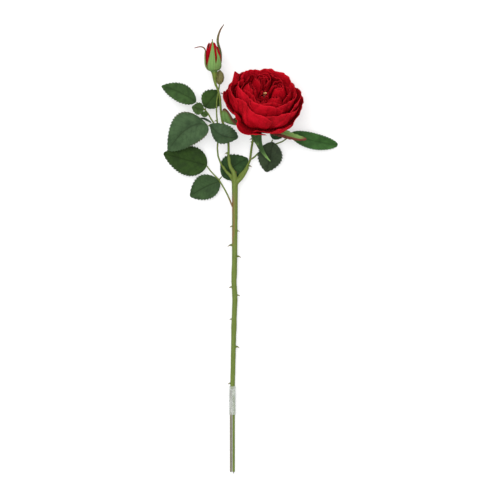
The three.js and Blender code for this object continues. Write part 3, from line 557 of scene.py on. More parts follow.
def leaf_surface(base, tip, width, bow=0, arch=2, fold=12, roll=0, full=0.8, early=1, blunt=0.72, seed=0):
    foot, end = np.array(base, float), np.array(tip, float)
    axis, side, normal = leaf_axes(foot, end, roll)
    length = np.linalg.norm(end - foot)
    teeth, bite = max(6, round(length / TOOTH_SPACING)), min(2, 0.07 * width)

    def surface(across, along):
        hump = np.sin(np.pi * along)
        bent = np.sin(np.pi * along.clip(0, 1) ** early)
        half = 0.5 * width * np.sin(np.pi * np.minimum(1, along) ** full).clip(0) ** blunt
        tooth, edge = (along * teeth) % 1, np.abs(across) ** 6
        out = half + edge * bite * (tooth - 0.5) * hump**0.4
        reach = (along + edge * TOOTH_SLANT * tooth) * length
        sway = 0.5 * wave(4 * along + across, seed) * hump
        rise = arch * hump + np.abs(across) * out * math.tan(math.radians(fold)) + sway
        points = foot + axis * reach[..., None] + side * (bow * bent + across * out)[..., None]
        return points + normal * rise[..., None]

    return surface


print("tip of a level leaflet in mm:", rim_middle(leaf_surface((0, 0, 0), (40, 0, 0), 20)))


# %% [markdown]
# ## Each leaflet has its own green
# No two leaves of a rose have the same age. One texture for all would hide that, and thirteen materials
# would say the same thing thirteen times, so each leaflet carries its green in its `tone` attribute. It is
# darker beside the midrib, and the big left leaflet has a dry brown rim.

# %% Greens
GREENS = {
    "upper_leaf_1": (0.034, 0.076, 0.019), "upper_leaf_2": (0.025, 0.057, 0.010),
    "upper_leaf_3": (0.040, 0.079, 0.019), "upper_leaf_4": (0.042, 0.087, 0.019),
    "middle_leaf_1": (0.045, 0.086, 0.036), "middle_leaf_2": (0.041, 0.077, 0.035),
    "middle_leaf_3": (0.040, 0.089, 0.034), "lower_leaf_1": (0.020, 0.048, 0.007),
    "lower_leaf_2": (0.031, 0.065, 0.022), "lower_leaf_3": (0.022, 0.056, 0.015),
    "right_leaf_1": (0.030, 0.048, 0.0225), "right_leaf_2": (0.035, 0.099, 0.023),
    "right_leaf_3": (0.020, 0.050, 0.020),
}
DRY, DRY_LEAF = np.array([0.20, 0.15, 0.10]), "middle_leaf_1"


def leaf_tone(node):
    green = np.array(GREENS[node])

    def tone(across, along):
        shade = 1 - 0.18 * bell(across, 0, 0.25) + 0.12 * wave(3 * along + 2 * across, len(node))
        dry = ramp(np.abs(across), 0.93, 1) * ease(1 - along * 1.4) * (node == DRY_LEAF)
        return mix(green * shade[..., None], DRY, 0.8 * dry[..., None])

    return tone


print("darkest leaflet:", min(GREENS, key=lambda node: sum(GREENS[node])))


# %% Make the leaflets
LEAF_PIECES = []
for index, leaf in enumerate(LEAVES):
    node = leaf["node"]
    shape = {key: value for key, value in leaf.items() if key != "node"}
    surface = leaf_surface(**shape, seed=1.9 * index)
    LEAF_PIECES.append(make_sheet(f"visual_{node}", 28, 120, surface, 0.6, node, "leaves", leaf_tone(node)))
print("leaflets made:", len(LEAF_PIECES))

# %% [markdown]
# ## A smooth line through a few points
# Sepals, stems and thorns follow lines that pass through a handful of points. A Bezier curve would only
# pass near them. This is the centripetal spline, which doesn't overshoot where points lie close together.
# `at` takes shares of the line's length, so it gives even steps too.

# %% The line
class Line:
    def __init__(self, points, steps=60):
        points = np.array(points, float)
        ends = np.vstack([2 * points[0] - points[1], points, 2 * points[-1] - points[-2]])
        t = np.linspace(0, 1, steps, endpoint=False)[:, None]
        parts = [self.stretch(*four, t) for four in zip(ends, ends[1:], ends[2:], ends[3:])]
        self.points = np.vstack([*parts, points[-1:]])
        lengths = np.linalg.norm(np.diff(self.points, axis=0), axis=1)
        self.share = np.concatenate([[0], np.cumsum(lengths)]) / lengths.sum()

    def stretch(self, a, b, c, d, t):
        t0, t1, t2 = (np.linalg.norm(q - p) ** 0.5 for p, q in ((a, b), (b, c), (c, d)))
        m1 = ((b - a) / t0 - (c - a) / (t0 + t1) + (c - b) / t1) * t1
        m2 = ((c - b) / t1 - (d - b) / (t1 + t2) + (d - c) / t2) * t1
        return b + m1 * t + (3 * (c - b) - 2 * m1 - m2) * t**2 + (2 * (b - c) + m1 + m2) * t**3

    def at(self, share):
        return np.stack([np.interp(share, self.share, column) for column in self.points.T], axis=-1)


print("middle of a bent line:", Line([[0, 0], [1, 1], [2, 0]]).at(0.5).round(3))

# %% [markdown]
# ## Cups and tubes
# The cup under a flower is a turned shape, and a stalk is a tube along a line. Blender's Spin operator and
# a curve's bevel make both, but a grid closed round on itself is the same function as for the petals, and
# it keeps the `tone` attribute and the UV map.

# %% Turned cups
def lathe(name, flower, profile, slot, tone):
    line = Line([[r, 0, h] for r, h in profile])

    def surface(across, along):
        spot = line.at(along)
        return flower(around(np.maximum(spot[..., 0], 0.01), across * np.pi, spot[..., 2]))

    return make_sheet(name, 32, 24, surface, 0.3, slot=slot, tone=tone)


# %% Tubes
def make_tube(name, line, radius_at, columns=14, rows=24, slot="stem", tone=None, wall=0.2):
    def surface(across, along):
        centre = line.at(along)
        forwards = np.gradient(centre, axis=0)
        forwards /= np.linalg.norm(forwards, axis=2, keepdims=True)
        up = np.cross(forwards, [0.31, 0.0, 0.95])
        up /= np.linalg.norm(up, axis=2, keepdims=True)
        aside = np.cross(forwards, up)
        turn = across[..., None] * np.pi
        return centre + radius_at(along)[..., None] * (up * np.cos(turn) + aside * np.sin(turn))

    return make_sheet(name, columns, rows, surface, wall, slot=slot, tone=tone)


# %% Join pieces to one
def join(pieces, name, *nodes):
    bpy.ops.object.select_all(action="DESELECT")
    for piece in pieces:
        piece.select_set(True)
    bpy.context.view_layer.objects.active = pieces[0]
    if len(pieces) > 1:
        bpy.ops.object.join()
    joined = bpy.context.object
    joined.name = name
    if nodes:
        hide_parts(*nodes)
    return joined


# %% [markdown]
# ## The colour of a sepal
# A sepal is fresh green at its root and turns red or brown towards its tip, and some are red along their
# edges. `start` is where the tip's colour begins, and `rim` how strong it is on the edge. `red_side` is 1
# or -1 where only one edge is red, and `red_reach` says how far over the sepal that red comes.

# %% Tones of the sepals
FRESH, DARK = np.array([0.20, 0.37, 0.10]), np.array([0.04, 0.09, 0.025])
RUSTY, RED_TIP = np.array([0.20, 0.035, 0.03]), np.array([0.20, 0.03, 0.03])
BROWN_TIP = np.array([0.16, 0.075, 0.04])


def sepal_tone(tip, base=FRESH, start=0.5, rim=0.6, red_side=0, red_reach=0.35):
    def tone(across, along):
        streak = 1 + 0.22 * wave(9 * across + along, 0)
        green = base * streak[..., None]
        edge = ramp(np.abs(across), 0.6, 1)
        if red_side:
            edge = ease((red_reach - red_side * across) / 0.5)
        turned = ramp(along, start, 1) + rim * edge
        return mix(green, tip, np.clip(turned, 0, 1)[..., None])

    return tone


print("colour of a rusty tip:", sepal_tone(RUSTY)(np.array(0.0), np.array(1.0)).round(3))


# %% [markdown]
# ## The open sepals of the bloom
# Five long sepals and one short one spread under the open flower. Each leaves the calyx along a profile of
# radius and height, while its bearing drifts from one value to another. It is cupped, it can be toothed,
# and the broad one on the left is twisted, so that its face is seen from above.

# %% An open sepal's surface
def sepal_surface(flower, profile, turn, width, cup=0.25, swell=1.0, teeth=0, twist=0, seed=0.0):
    line = Line(profile)

    def surface(across, along):
        radius, height = np.moveaxis(line.at(along), -1, 0)
        bearing = np.radians(mix(*turn, along))
        taper = np.clip(1 - along, 0, 1) ** swell * mix(0.55, 1, ease(along * 4))
        notch = 1 + 0.25 * np.abs(across) ** 4 * (((along * max(teeth, 1)) % 1) - 0.5) * (teeth > 0)
        half = np.maximum(0.45, 0.5 * width * taper) * notch
        lift = -cup * half * (1 - across**2) + 0.4 * wave(5 * along + across, seed) * along
        points = around(radius, bearing, height + lift)
        side = np.stack([-np.sin(bearing), np.cos(bearing), 0 * bearing], axis=-1)
        out = np.stack([-np.cos(bearing), -np.sin(bearing), 0.5 + 0 * bearing], axis=-1)
        turned = math.radians(twist) * ease(along * 1.6)[..., None]
        side = side * np.cos(turned) + out * np.sin(turned)
        return flower(points + side * (half * across)[..., None])

    return surface


print("tip of an open sepal in mm:", rim_middle(sepal_surface(bloom, [[6, -32], [30, -40]], (0, 10), 12)))


# %% Shapes and tones of the open sepals
ROOT = [5.9, -32]
BLOOM_SEPALS = [
    (dict(profile=[ROOT, [20, -36], [44, -39], [69, -41]], turn=(338, 356), width=24, cup=0.3, swell=0.42,
          teeth=10),
     sepal_tone(RUSTY, start=0.85, rim=0.95, red_side=1)),
    (dict(profile=[ROOT, [13, -38], [21, -53], [29, -64], [40, -76]], turn=(266, 319), width=17, swell=0.8),
     sepal_tone(FRESH * 1.1, base=DARK, start=0.66, rim=0)),
    (dict(profile=[ROOT, [13, -39], [20, -50], [26, -57]], turn=(252, 290), width=21, swell=0.6),
     sepal_tone(FRESH * 0.6, base=DARK, start=0.8, rim=0)),
    (dict(profile=[ROOT, [20, -38], [37, -40], [48.5, -20]], turn=(207, 195), width=33, swell=0.5, twist=50),
     sepal_tone(RUSTY * 0.6, base=FRESH * 0.7, start=0.86, rim=0.95, red_side=-1, red_reach=-0.35)),
    (dict(profile=[ROOT, [20, -35], [42, -33], [62, -24]], turn=(124, 159), width=13),
     sepal_tone(RUSTY * 0.4, base=DARK)),
    (dict(profile=[ROOT, [20, -36], [34, -38], [46, -34]], turn=(52, 44), width=15),
     sepal_tone(RUSTY * 0.4, base=DARK)),
]
print("open sepals:", len(BLOOM_SEPALS))

# %% Make the bloom's calyx
BLOOM_CUP = [[3.1, -38.9], [5, -38], [6.7, -35], [8.3, -31.8], [7.6, -30.4]]
calyx_pieces = [lathe("bloom cup", bloom, BLOOM_CUP, "calyx", sepal_tone(DARK, base=DARK))]
for index, (shape, tone) in enumerate(BLOOM_SEPALS):
    surface = sepal_surface(bloom, **shape, seed=1.1 * index)
    calyx_pieces.append(make_sheet(f"sepal {index}", 14, 50, surface, 0.6, slot="calyx", tone=tone))
BLOOM_CALYX = join(calyx_pieces, "visual_bloom_calyx", "bloom_calyx")
print("bloom calyx:", len(BLOOM_CALYX.data.polygons), "faces")

# %% [markdown]
# ## The sepals that hug the bud
# On the closed bud the sepals lie on the petals and show red between them. Their lower part follows `hug`,
# the bud's own outline, and only their tips leave it: two stand away as long red and brown horns. Their
# width is measured round the bud, so that their edges hug it too.

# %% A hugging sepal's surface
def hug(t):
    return bezier([[4.6, -1.2], [16, 0.2], [13.2, 27], [6.1, 38]], t)


def hugging_surface(turn, half, swell, profile):
    line = Line(profile)

    def surface(across, along):
        radius, height = np.moveaxis(line.at(along), -1, 0)
        taper = np.clip(1 - along, 0, 1) ** swell * mix(0.5, 1, ease(along * 4))
        width = np.maximum(0.7, half * taper)
        bearing = np.radians(mix(*turn, along))
        return bud(around(radius, bearing + across * width / np.maximum(radius, 6), height))

    return surface


print("tip of a hugging sepal in mm:", rim_middle(hugging_surface((0, 0), 6, 1, [[5, 0], [10, 10], [6, 30]])))


# %% Shapes and tones of the hugging sepals
FOOT = [4.4, -1.3]
LOWER_PART = [FOOT, hug(0.12), hug(0.3)]
BUD_SEPALS = [
    (dict(turn=(247, 283), half=8.6, swell=1.2, profile=[*LOWER_PART, hug(0.6), hug(0.85), [4.8, 41.5]]),
     sepal_tone(RUSTY, base=FRESH * 0.82, start=0.9, rim=0.15)),
    (dict(turn=(306, 308), half=9.4, swell=1.5, profile=[*LOWER_PART, hug(0.55), [9.6, 24], [9, 30]]),
     sepal_tone(RUSTY, base=FRESH * 0.82, start=0.85, rim=0.2)),
    (dict(turn=(190, 190), half=5, swell=0.5,
          profile=[*LOWER_PART, [11, 20], [9.8, 27], [11.5, 30.8], [14.5, 32.4], [19, 32.4], [23.5, 31.6]]),
     sepal_tone(RED_TIP, start=0.35)),
    (dict(turn=(42, 42), half=3.2, swell=0.4,
          profile=[*LOWER_PART, [13.9, 20.7], [11.1, 36.1], [12.4, 42.7], [17.5, 51.3], [24.6, 57.7]]),
     sepal_tone(BROWN_TIP, base=FRESH * 0.55, start=0.35)),
    (dict(turn=(118, 118), half=7, swell=0.75, profile=[*LOWER_PART, hug(0.6), [8.8, 30], [8.6, 34]]),
     sepal_tone(RUSTY, start=0.8)),
]
print("hugging sepals:", len(BUD_SEPALS))

# %% Make the bud's calyx
BUD_CUP = [[4, -3], [4.8, -1.4], [7.2, 0.4], [9, 2.6]]
HORN = [(9.6, 28), (11.5, 30.8), (14.5, 32.2), (19, 32.4), (23.8, 31.5)]
calyx_pieces = [lathe("bud cup", bud, BUD_CUP, "calyx", sepal_tone(FRESH * 0.7, base=FRESH * 0.6))]
for index, (shape, tone) in enumerate(BUD_SEPALS):
    calyx_pieces.append(make_sheet(f"bud sepal {index}", 14, 50, hugging_surface(**shape), 0.6,
                                   slot="calyx", tone=tone))
horn_line = Line([bud(around(np.array(r), math.radians(190), h)) for r, h in HORN])
calyx_pieces.append(make_tube("bud tail", horn_line, lambda t: mix(0.9, 0.5, t), 10, 20, "calyx",
                              sepal_tone(RED_TIP, start=-0.5)))
BUD_CALYX = join(calyx_pieces, "visual_bud_calyx", "bud_calyx")
print("bud calyx:", len(BUD_CALYX.data.polygons), "faces")

# %% [markdown]
# ## Webs in the fork
# Where the branches leave the stem, the real moulding is thick and rounded like the fork of a tree. These
# short tubes run from the stem's head a little way up each branch, and one thickens the neck of the bud.
# They will be melted into the stem below. A web is (path in mm, radius at its foot, radius at its top).

# %% Make the webs
WEB_WALL, WEB_INSET = 1.4, 0.6
HEAD = [2.5, 386, 12]
FORK = [
    ([HEAD, [5.6, 389.6, 12], [11, 394.4, 11.6], [15.6, 400.5, 10.3], [19.8, 408.6, 8.6]], 4.0, 2.4),
    ([HEAD, [2, 392, 13.4], [1.2, 400, 14.8], [-4, 410, 15.6], [-5.6, 420, 16.5]], 4.0, 2.2),
    ([HEAD, [0.6, 391, 11.4], [-2.6, 396, 10.6], [-9, 402.5, 10.8], [-13.5, 409, 11.6]], 3.6, 1.7),
]


def make_web(name, path, foot_radius, top_radius):
    def radius_at(t):
        return mix(foot_radius, top_radius, ease(t * 1.25)) - WEB_INSET

    return make_tube(name, Line(path), radius_at, wall=WEB_WALL)


webs = [make_web(f"web {index}", *web) for index, web in enumerate(FORK)]
NECK = [bud(np.array([0, 0, h])) for h in (-0.5, -4, -8)] + [[-24.4, 525, 29], [-22.5, 516, 28.5]]
webs.append(make_tube("neck", Line(NECK), lambda t: mix(3.9, 1.2, ease(t * 1.1) ** 0.6), wall=WEB_WALL))
FORK_WEB = join(webs, "fork_web")
print("webs made:", len(webs))

# %% [markdown]
# ## Stems and other turned parts, melted smooth
# The stem, its branches and the small solids keep the frame's shapes, but their facets would show. Shading
# them smooth would leave the outline angular. A copy is merged instead, remeshed into small even faces,
# which also melts the branches and webs into one body as in a mould, and then relaxed.

# %% Copies of the frame's nodes
def loose_copy(node):
    twin = frame["nodes"][node].copy()
    twin.data = twin.data.copy()
    twin.parent = None
    for key in list(twin.keys()):
        del twin[key]
    bpy.context.collection.objects.link(twin)
    return twin


def weld():
    bpy.ops.object.mode_set(mode="EDIT")
    bpy.ops.mesh.select_all(action="SELECT")
    bpy.ops.mesh.remove_doubles(threshold=1e-6)
    bpy.ops.object.mode_set(mode="OBJECT")


# %% A smooth copy
def smooth_copy(node, slot, voxel_mm=0.6, smooth=6, extra=(), helpers=(), grow_mm=0):
    copies = [loose_copy(source) for source in (node, *extra)]
    piece = join([*copies, *helpers], f"visual_{node}")
    piece.data.materials.clear()
    weld()
    apply_modifier(piece, "fine mesh", "REMESH", mode="VOXEL", voxel_size=voxel_mm * 0.001)
    apply_modifier(piece, "relax", "CORRECTIVE_SMOOTH", factor=0.5, iterations=smooth, use_only_smooth=True)
    if grow_mm:
        apply_modifier(piece, "fuller", "DISPLACE", strength=grow_mm * 0.001, mid_level=0)
    bpy.ops.object.shade_smooth()
    return belongs(piece, slot, node, *extra)


# %% Reshape about a node's middle
def reshape(piece, node, scale):
    low, high = (np.array(corner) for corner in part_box(node))
    spots = np.empty(len(piece.data.vertices) * 3)
    piece.data.vertices.foreach_get("co", spots)
    middle = (low + high) / 2
    move_vertices(piece.data, middle + (spots.reshape(-1, 3) - middle) * scale)


# %% [markdown]
# ## Thorns
# A rose thorn is broad at its foot, narrows to a point and hooks downwards. A cone would look like a nail,
# so each thorn is a tube along a bent line. The stem's thorns are given by their height, and the stem's
# middle line says where their foot is. After the place come the bearing in degrees, the thorn's length and
# the radius of the stem there, in mm.

# %% Places of the thorns
STEM_LINE = Line([[-0.7, 111, 5], [0, 139, 5.6], [0.8, 177, 6.6], [1.8, 212, 7.6], [2.6, 236, 8.2],
                  [1.3, 252, 8.8], [2, 276, 9.4], [2.3, 311, 10.2], [2.5, 348, 11.2], [2.6, 370, 11.6],
                  [2.5, 386, 12]])
STEM_THORNS = [(329, 190, 3.4, 3.7), (323, 10, 2.8, 3.7), (304, 175, 6.0, 3.6), (289, -10, 5.2, 3.5),
               (248, 170, 3.6, 3.4), (237, 5, 3.4, 3.4), (205, 185, 3.0, 3.4), (168, 12, 5.0, 3.4),
               (119, 172, 3.2, 3.2)]
BRANCH_THORNS = [([19.3, 410, 8.3], -10, 4.2, 1.6), ([27.1, 446, 9.9], 175, 3.4, 1.5),
                 ([-5.8, 427, 17.3], 178, 3.6, 1.5), ([-0.3, 402, 14.9], 12, 3.6, 1.6),
                 ([-16.1, 482, 23.2], 5, 2.8, 1.5), ([-21, 470, 17.3], 182, 2.8, 1.1)]


def on_stem(height):
    x, y, z = STEM_LINE.points.T
    return [np.interp(height, y, x), height, np.interp(height, y, z)]


THORNS = [(on_stem(height), *rest) for height, *rest in STEM_THORNS] + BRANCH_THORNS
print("lowest thorn starts at:", np.round(THORNS[8][0], 1))


# %% Make the thorns
def make_thorn(name, base, bearing, length, radius):
    out = np.array([math.cos(math.radians(bearing)), 0, math.sin(math.radians(bearing))])
    base, hook = np.array(base, float), np.array([0, 0.38 * length, 0])
    bend, tip = base + out * (radius + length * 0.45), base + out * (radius + length) - hook
    path, wide = [base + out * radius * 0.5, bend, tip], 0.7 + 0.26 * length
    return make_tube(name, Line(path), lambda t: mix(wide, 0.12, t**0.7), 12, 10)


spikes = [make_thorn(f"thorn {index}", *thorn) for index, thorn in enumerate(THORNS)]
SPIKES = join(spikes, "thorns")
print("thorns made:", len(spikes))

# %% [markdown]
# ## Make the smooth copies
# Finer parts get smaller faces. The leaf stalks are thin and lose a little in the smoothing, so they are
# grown back by a quarter of a millimetre. The stamen button is pressed a little oval and the small closed
# bud is plumper than its solid. The wire and the clear band keep the frame's own meshes.

# %% Stems
BRANCHES = ("bloom_branch", "bud_branch", "side_branch")
RACHISES = ("upper_rachis", "middle_rachis", "lower_rachis", "right_rachis")
STEMS = [
    smooth_copy("main_stem", "stem", 0.55, 8, BRANCHES, [FORK_WEB]),
    smooth_copy("green_strand", "stem", 0.5),
    *[smooth_copy(rachis, "stem", 0.35, grow_mm=0.25) for rachis in RACHISES],
]
for piece in STEMS:
    print(piece.name, len(piece.data.polygons), "faces")

# %% Small solids
BROWN = smooth_copy("brown_strand", "brown_skin", 0.5)
SMALL_BUD = smooth_copy("small_bud", "small_bud", 0.4, 8)
BUD_HEART = smooth_copy("bud_heart", "petals", 0.5, 8)
CORE = smooth_copy("receptacle", "flower_core", 0.4)
BUTTON = smooth_copy("stamen_button", "stamens", 0.25, 4)
TAPE, WIRE = frame["nodes"]["clear_tape"], frame["nodes"]["core_wire"]
reshape(BUTTON, "stamen_button", (0.95, 0.7, 1))
reshape(SMALL_BUD, "small_bud", (1.3, 1.1, 1.15))
print("stamen button:", len(BUTTON.data.polygons), "faces, small bud:", len(SMALL_BUD.data.polygons), "faces")

# %% [markdown]
# ## Materials from a small language
# A material could be built node by node, with two lines for every link. `Wire` wraps one socket instead, so
# that shader maths reads like plain arithmetic, and `add` makes any node from its type, its inputs
# and its settings. Numbers that are the same all over go straight into the shader's own sockets.

# %% Wires that can be added and multiplied
class Wire:
    def __init__(self, shader, socket):
        self.shader, self.socket = shader, socket

    def maths(self, operation, *others):
        values = dict(enumerate([self, *others]))
        return self.shader.add("ShaderNodeMath", values, operation=operation)

    def __add__(self, other):
        return self.maths("ADD", other)

    def __sub__(self, other):
        return self.maths("SUBTRACT", other)

    def __mul__(self, other):
        return self.maths("MULTIPLY", other)

    def __rsub__(self, other):
        return self.shader.add("ShaderNodeMath", {0: other, 1: self}, operation="SUBTRACT")

    __radd__, __rmul__ = __add__, __mul__


# %% A material and any of its nodes
class Material:
    def __init__(self, name, **constants):
        self.material = bpy.data.materials.new(name)
        self.material.use_nodes = True
        self.tree = self.material.node_tree
        self.tree.nodes.clear()
        self.principled = self.tree.nodes.new("ShaderNodeBsdfPrincipled")
        self.output = self.tree.nodes.new("ShaderNodeOutputMaterial")
        self.tree.links.new(self.principled.outputs["BSDF"], self.output.inputs["Surface"])
        for key, value in constants.items():
            self.principled.inputs[key.replace("_", " ")].default_value = value

    def feed(self, socket, value):
        if isinstance(value, Wire):
            self.tree.links.new(value.socket, socket)
        else:
            socket.default_value = value

    def add(self, kind, inputs=None, output=0, **settings):
        node = self.tree.nodes.new(kind)
        for key, value in settings.items():
            setattr(node, key, value)
        for key, value in (inputs or {}).items():
            self.feed(node.inputs[key], value)
        return Wire(self, node.outputs[output])


# %% [markdown]
# ## The words of that language
# These few words cover all that the rose needs: where a pattern sits, what it is stretched by, noise and
# fibres, soft steps, shaded and mixed colours, and relief. Each adds a node or two and gives back a wire.

# %% Places, patterns, colours and relief
class Shader(Material):
    def place(self, kind="Object"):
        return self.add("ShaderNodeTexCoord", output=kind)

    def stretch(self, where, scale):
        return self.add("ShaderNodeMapping", {"Vector": where, "Scale": scale})

    def axis(self, where, letter):
        return self.add("ShaderNodeSeparateXYZ", {0: where}, output=letter)

    def tone(self):
        return self.add("ShaderNodeAttribute", attribute_name="tone")

    def noise(self, where, scale, detail=4):
        values = {"Vector": where, "Scale": scale, "Detail": detail, "Roughness": 0.6}
        return self.add("ShaderNodeTexNoise", values)

    def fibres(self, shorten, scale, detail=4):
        return self.noise(self.stretch(self.place(), (1, shorten, 1)), scale, detail)

    def between(self, value, low, high):
        values = {"Value": value, "From Min": low, "From Max": high}
        return self.add("ShaderNodeMapRange", values, interpolation_type="SMOOTHSTEP")

    def shaded(self, colour, factors):
        return self.add("ShaderNodeVectorMath", {0: colour, 1: factors}, operation="MULTIPLY")

    def colour(self, share, first, second):
        node = self.tree.nodes.new("ShaderNodeMix")
        node.data_type = "RGBA"
        self.feed(node.inputs["Factor"], share)
        for socket, value in ((node.inputs[6], first), (node.inputs[7], second)):
            self.feed(socket, value if isinstance(value, Wire) else (*value, 1))
        return Wire(self, node.outputs[2])

    def bump(self, height, strength, distance):
        return self.add("ShaderNodeBump", {"Height": height, "Strength": strength, "Distance": distance})

    def finish(self, colour, roughness, normal=None):
        self.feed(self.principled.inputs["Base Color"], colour)
        self.feed(self.principled.inputs["Roughness"], roughness)
        if normal:
            self.feed(self.principled.inputs["Normal"], normal)
        return self.material


# %% Paint pieces
def paint(pieces, material):
    for piece in pieces:
        piece.data.materials.clear()
        piece.data.materials.append(material)
    print(material.name, "on", len(pieces), "pieces")


def named(*starts):
    return [piece for piece in bpy.data.objects if piece.name.startswith(starts)]


# %% [markdown]
# ## Petal paper
# The paper is a matt, deep red. Its fine grain runs along the petal, so it reads the UV map, while clouds
# and wrinkles read the object's own place and pass over all petals alike. Painted shade makes it almost
# black-red towards the claw, where little light comes, and a thin painted highlight makes the rim a little
# paler. The heart's folds and the bud's petals take a darker red, and their painted shade reaches further up.
# Gloss is kept very low, because such paper has hardly any.

# %% Petals
def petal_paper(name, dark, bright, depth):
    petal = Shader(name, Specular_IOR_Level=0.04)
    uv = petal.place("UV")
    along = petal.axis(uv, "Y")
    grain = petal.noise(petal.stretch(uv, (90, 5, 1)), 3, 5)
    crepe = petal.noise(petal.stretch(uv, (30, 5, 1)), 2, 3)
    cloud = petal.noise(petal.place(), 60, 3)
    wrinkle = petal.noise(petal.place(), 110, 3)
    lit = petal.colour(grain * 0.4 + petal.between(cloud, 0.35, 0.65) * 0.42, dark, bright)
    # Painted shade: from the claw up to `depth` of the petal's length the red is mixed towards black-red.
    painted_claw_shade = petal.colour(petal.between(along, 0.05, depth), (0.08, 0.0, 0.001), lit)
    # Painted highlight: the outermost rim of each petal is mixed a fifth of the way to a paler red.
    edge = petal.colour(petal.between(along, 0.955, 1.0) * 0.2, painted_claw_shade, (0.62, 0.02, 0.03))
    return petal.finish(edge, 0.72 + 0.2 * cloud, petal.bump(grain * 0.5 + crepe + wrinkle * 3.0, 0.5, 0.001))


OUTER_PETALS = named("visual_cup", "visual_shoulder", "visual_guard")
HEART_PETALS = named("visual_heart", "inner_fold", "visual_bud_petal")
# The last number is how far up from the claw the painted shade reaches. The heart paper, which is also on the
# bud's petals, is a darker red, and its painted shade reaches much further.
paint(OUTER_PETALS, petal_paper("petal paper", (0.26, 0.0012, 0.004), (0.60, 0.006, 0.020), 0.45))
paint(HEART_PETALS, petal_paper("heart paper", (0.18, 0.0006, 0.003), (0.49, 0.003, 0.012), 0.85))

# %% [markdown]
# ## Leaf cloth
# The leaves are printed cloth with pressed veins. The UV map draws the midrib at the middle of *across* and
# the side veins as slanting stripes that fade towards the edge. A picture of a leaf could do the same, but
# drawn veins stay sharp at any distance. The green comes from the `tone` attribute.

# %% Leaves
def leaf_veins(leaf):
    uv = leaf.place("UV")
    across, along = (leaf.axis(uv, "X") - 0.5).maths("ABSOLUTE") * 2, leaf.axis(uv, "Y")
    wander = leaf.noise(uv, 6, 2)
    phase = ((along - 0.26 * across + 0.02 * wander) * 9).maths("FRACT")
    side_vein = 1 - leaf.between((phase - 0.5).maths("ABSOLUTE"), 0.0, 0.09)
    midrib = 1 - leaf.between(across, 0.01, 0.07)
    return (side_vein * 0.55 * leaf.between(across, 1.0, 0.6)).maths("MAXIMUM", midrib)


def leaf_cloth():
    leaf = Shader("leaf cloth", Specular_IOR_Level=0.09)
    veins, tone = leaf_veins(leaf), leaf.tone()
    mottle = leaf.noise(leaf.place(), 90, 4)
    weave = leaf.noise(leaf.place(), 900, 3)
    darker, lighter = leaf.shaded(tone, (0.6, 0.62, 0.6)), leaf.shaded(tone, (1.12, 1.1, 1.08))
    body = leaf.colour(leaf.between(mottle, 0.3, 0.7), darker, lighter)
    skin = leaf.colour(veins * 0.75, body, leaf.shaded(tone, (0.55, 0.55, 0.5)))
    return leaf.finish(skin, 0.5 + 0.2 * mottle, leaf.bump(weave * 0.12 - veins, 0.5, 0.0006))


paint(LEAF_PIECES, leaf_cloth())

# %% [markdown]
# ## Stem skin
# The stem is a moulded sleeve in yellowish green, with streaks drawn along it and worn brownish blotches.
# The streaks are one noise that is stretched lengthwise. Under the fork the stem's left side has a reddish
# blush, which is placed with the object's own coordinates: a band in y and a fade in x.

# %% Stems and strands
def stem_skin():
    stem = Shader("stem skin", Specular_IOR_Level=0.25)
    where = stem.place()
    streaks, blotch = stem.fibres(0.06, 700), stem.noise(where, 40, 3)
    green = stem.colour(streaks, (0.055, 0.088, 0.010), (0.160, 0.215, 0.036))
    worn = stem.colour(stem.between(blotch, 0.58, 0.8) * 0.5, green, (0.18, 0.12, 0.05))
    height, aside = stem.axis(where, "Y"), stem.axis(where, "X")
    band = stem.between(height, 0.0, 0.02) * stem.between(height, 0.075, 0.06)
    blush = band * stem.between(aside, -0.0185, -0.0225) * stem.between(streaks, 0.35, 0.6)
    skin = stem.colour(blush * 0.8, worn, (0.22, 0.07, 0.035))
    return stem.finish(skin, 0.45 + 0.25 * blotch, stem.bump(streaks + blotch, 0.25, 0.0005))


def brown_skin():
    brown = Shader("brown skin")
    streaks = brown.fibres(0.06, 700)
    shade = brown.colour(streaks, (0.075, 0.07, 0.036), (0.20, 0.165, 0.10))
    return brown.finish(shade, 0.45 + 0.2 * streaks, brown.bump(streaks, 0.2, 0.0004))


paint(STEMS, stem_skin())
paint([BROWN], brown_skin())

# %% [markdown]
# ## Thorns
# A thorn is green at its foot, like the stem it grew from, and brown at its tip. Its UV map runs from foot
# to tip, so the change of colour needs no coordinates of its own for each thorn.

# %% Thorn colour
def thorn_horn():
    thorn = Shader("thorn", Specular_IOR_Level=0.3)
    along, fleck = thorn.axis(thorn.place("UV"), "Y"), thorn.noise(thorn.place(), 500, 3)
    tip_share = thorn.between(along + 0.3 * fleck, 0.5, 1.0)
    horn = thorn.colour(tip_share, (0.085, 0.125, 0.02), (0.17, 0.09, 0.035))
    return thorn.finish(horn, 0.5 + 0.2 * fleck, thorn.bump(fleck, 0.3, 0.0003))


paint([SPIKES], thorn_horn())

# %% [markdown]
# ## Calyx and small bud
# Sepals are matt and finely ribbed along their length. Their greens and reds come from the `tone` attribute,
# and the ribs only darken it. The small closed bud is olive brown with the same kind of ribs.

# %% Sepals and the closed bud
def calyx_green():
    calyx = Shader("calyx", Specular_IOR_Level=0.15)
    tone = calyx.tone()
    ribs = calyx.noise(calyx.stretch(calyx.place("UV"), (30, 3, 1)), 3)
    skin = calyx.colour(calyx.between(ribs, 0.3, 0.7), calyx.shaded(tone, (0.65, 0.65, 0.65)), tone)
    return calyx.finish(skin, 0.6 + 0.2 * ribs, calyx.bump(ribs, 0.4, 0.0005))


def olive_skin():
    olive = Shader("closed bud")
    ribs = olive.fibres(0.2, 500)
    shade = olive.colour(ribs, (0.07, 0.06, 0.012), (0.20, 0.19, 0.05))
    return olive.finish(shade, 0.55 + 0.2 * ribs, olive.bump(ribs, 0.4, 0.0006))


paint([BLOOM_CALYX, BUD_CALYX], calyx_green())
paint([SMALL_BUD], olive_skin())

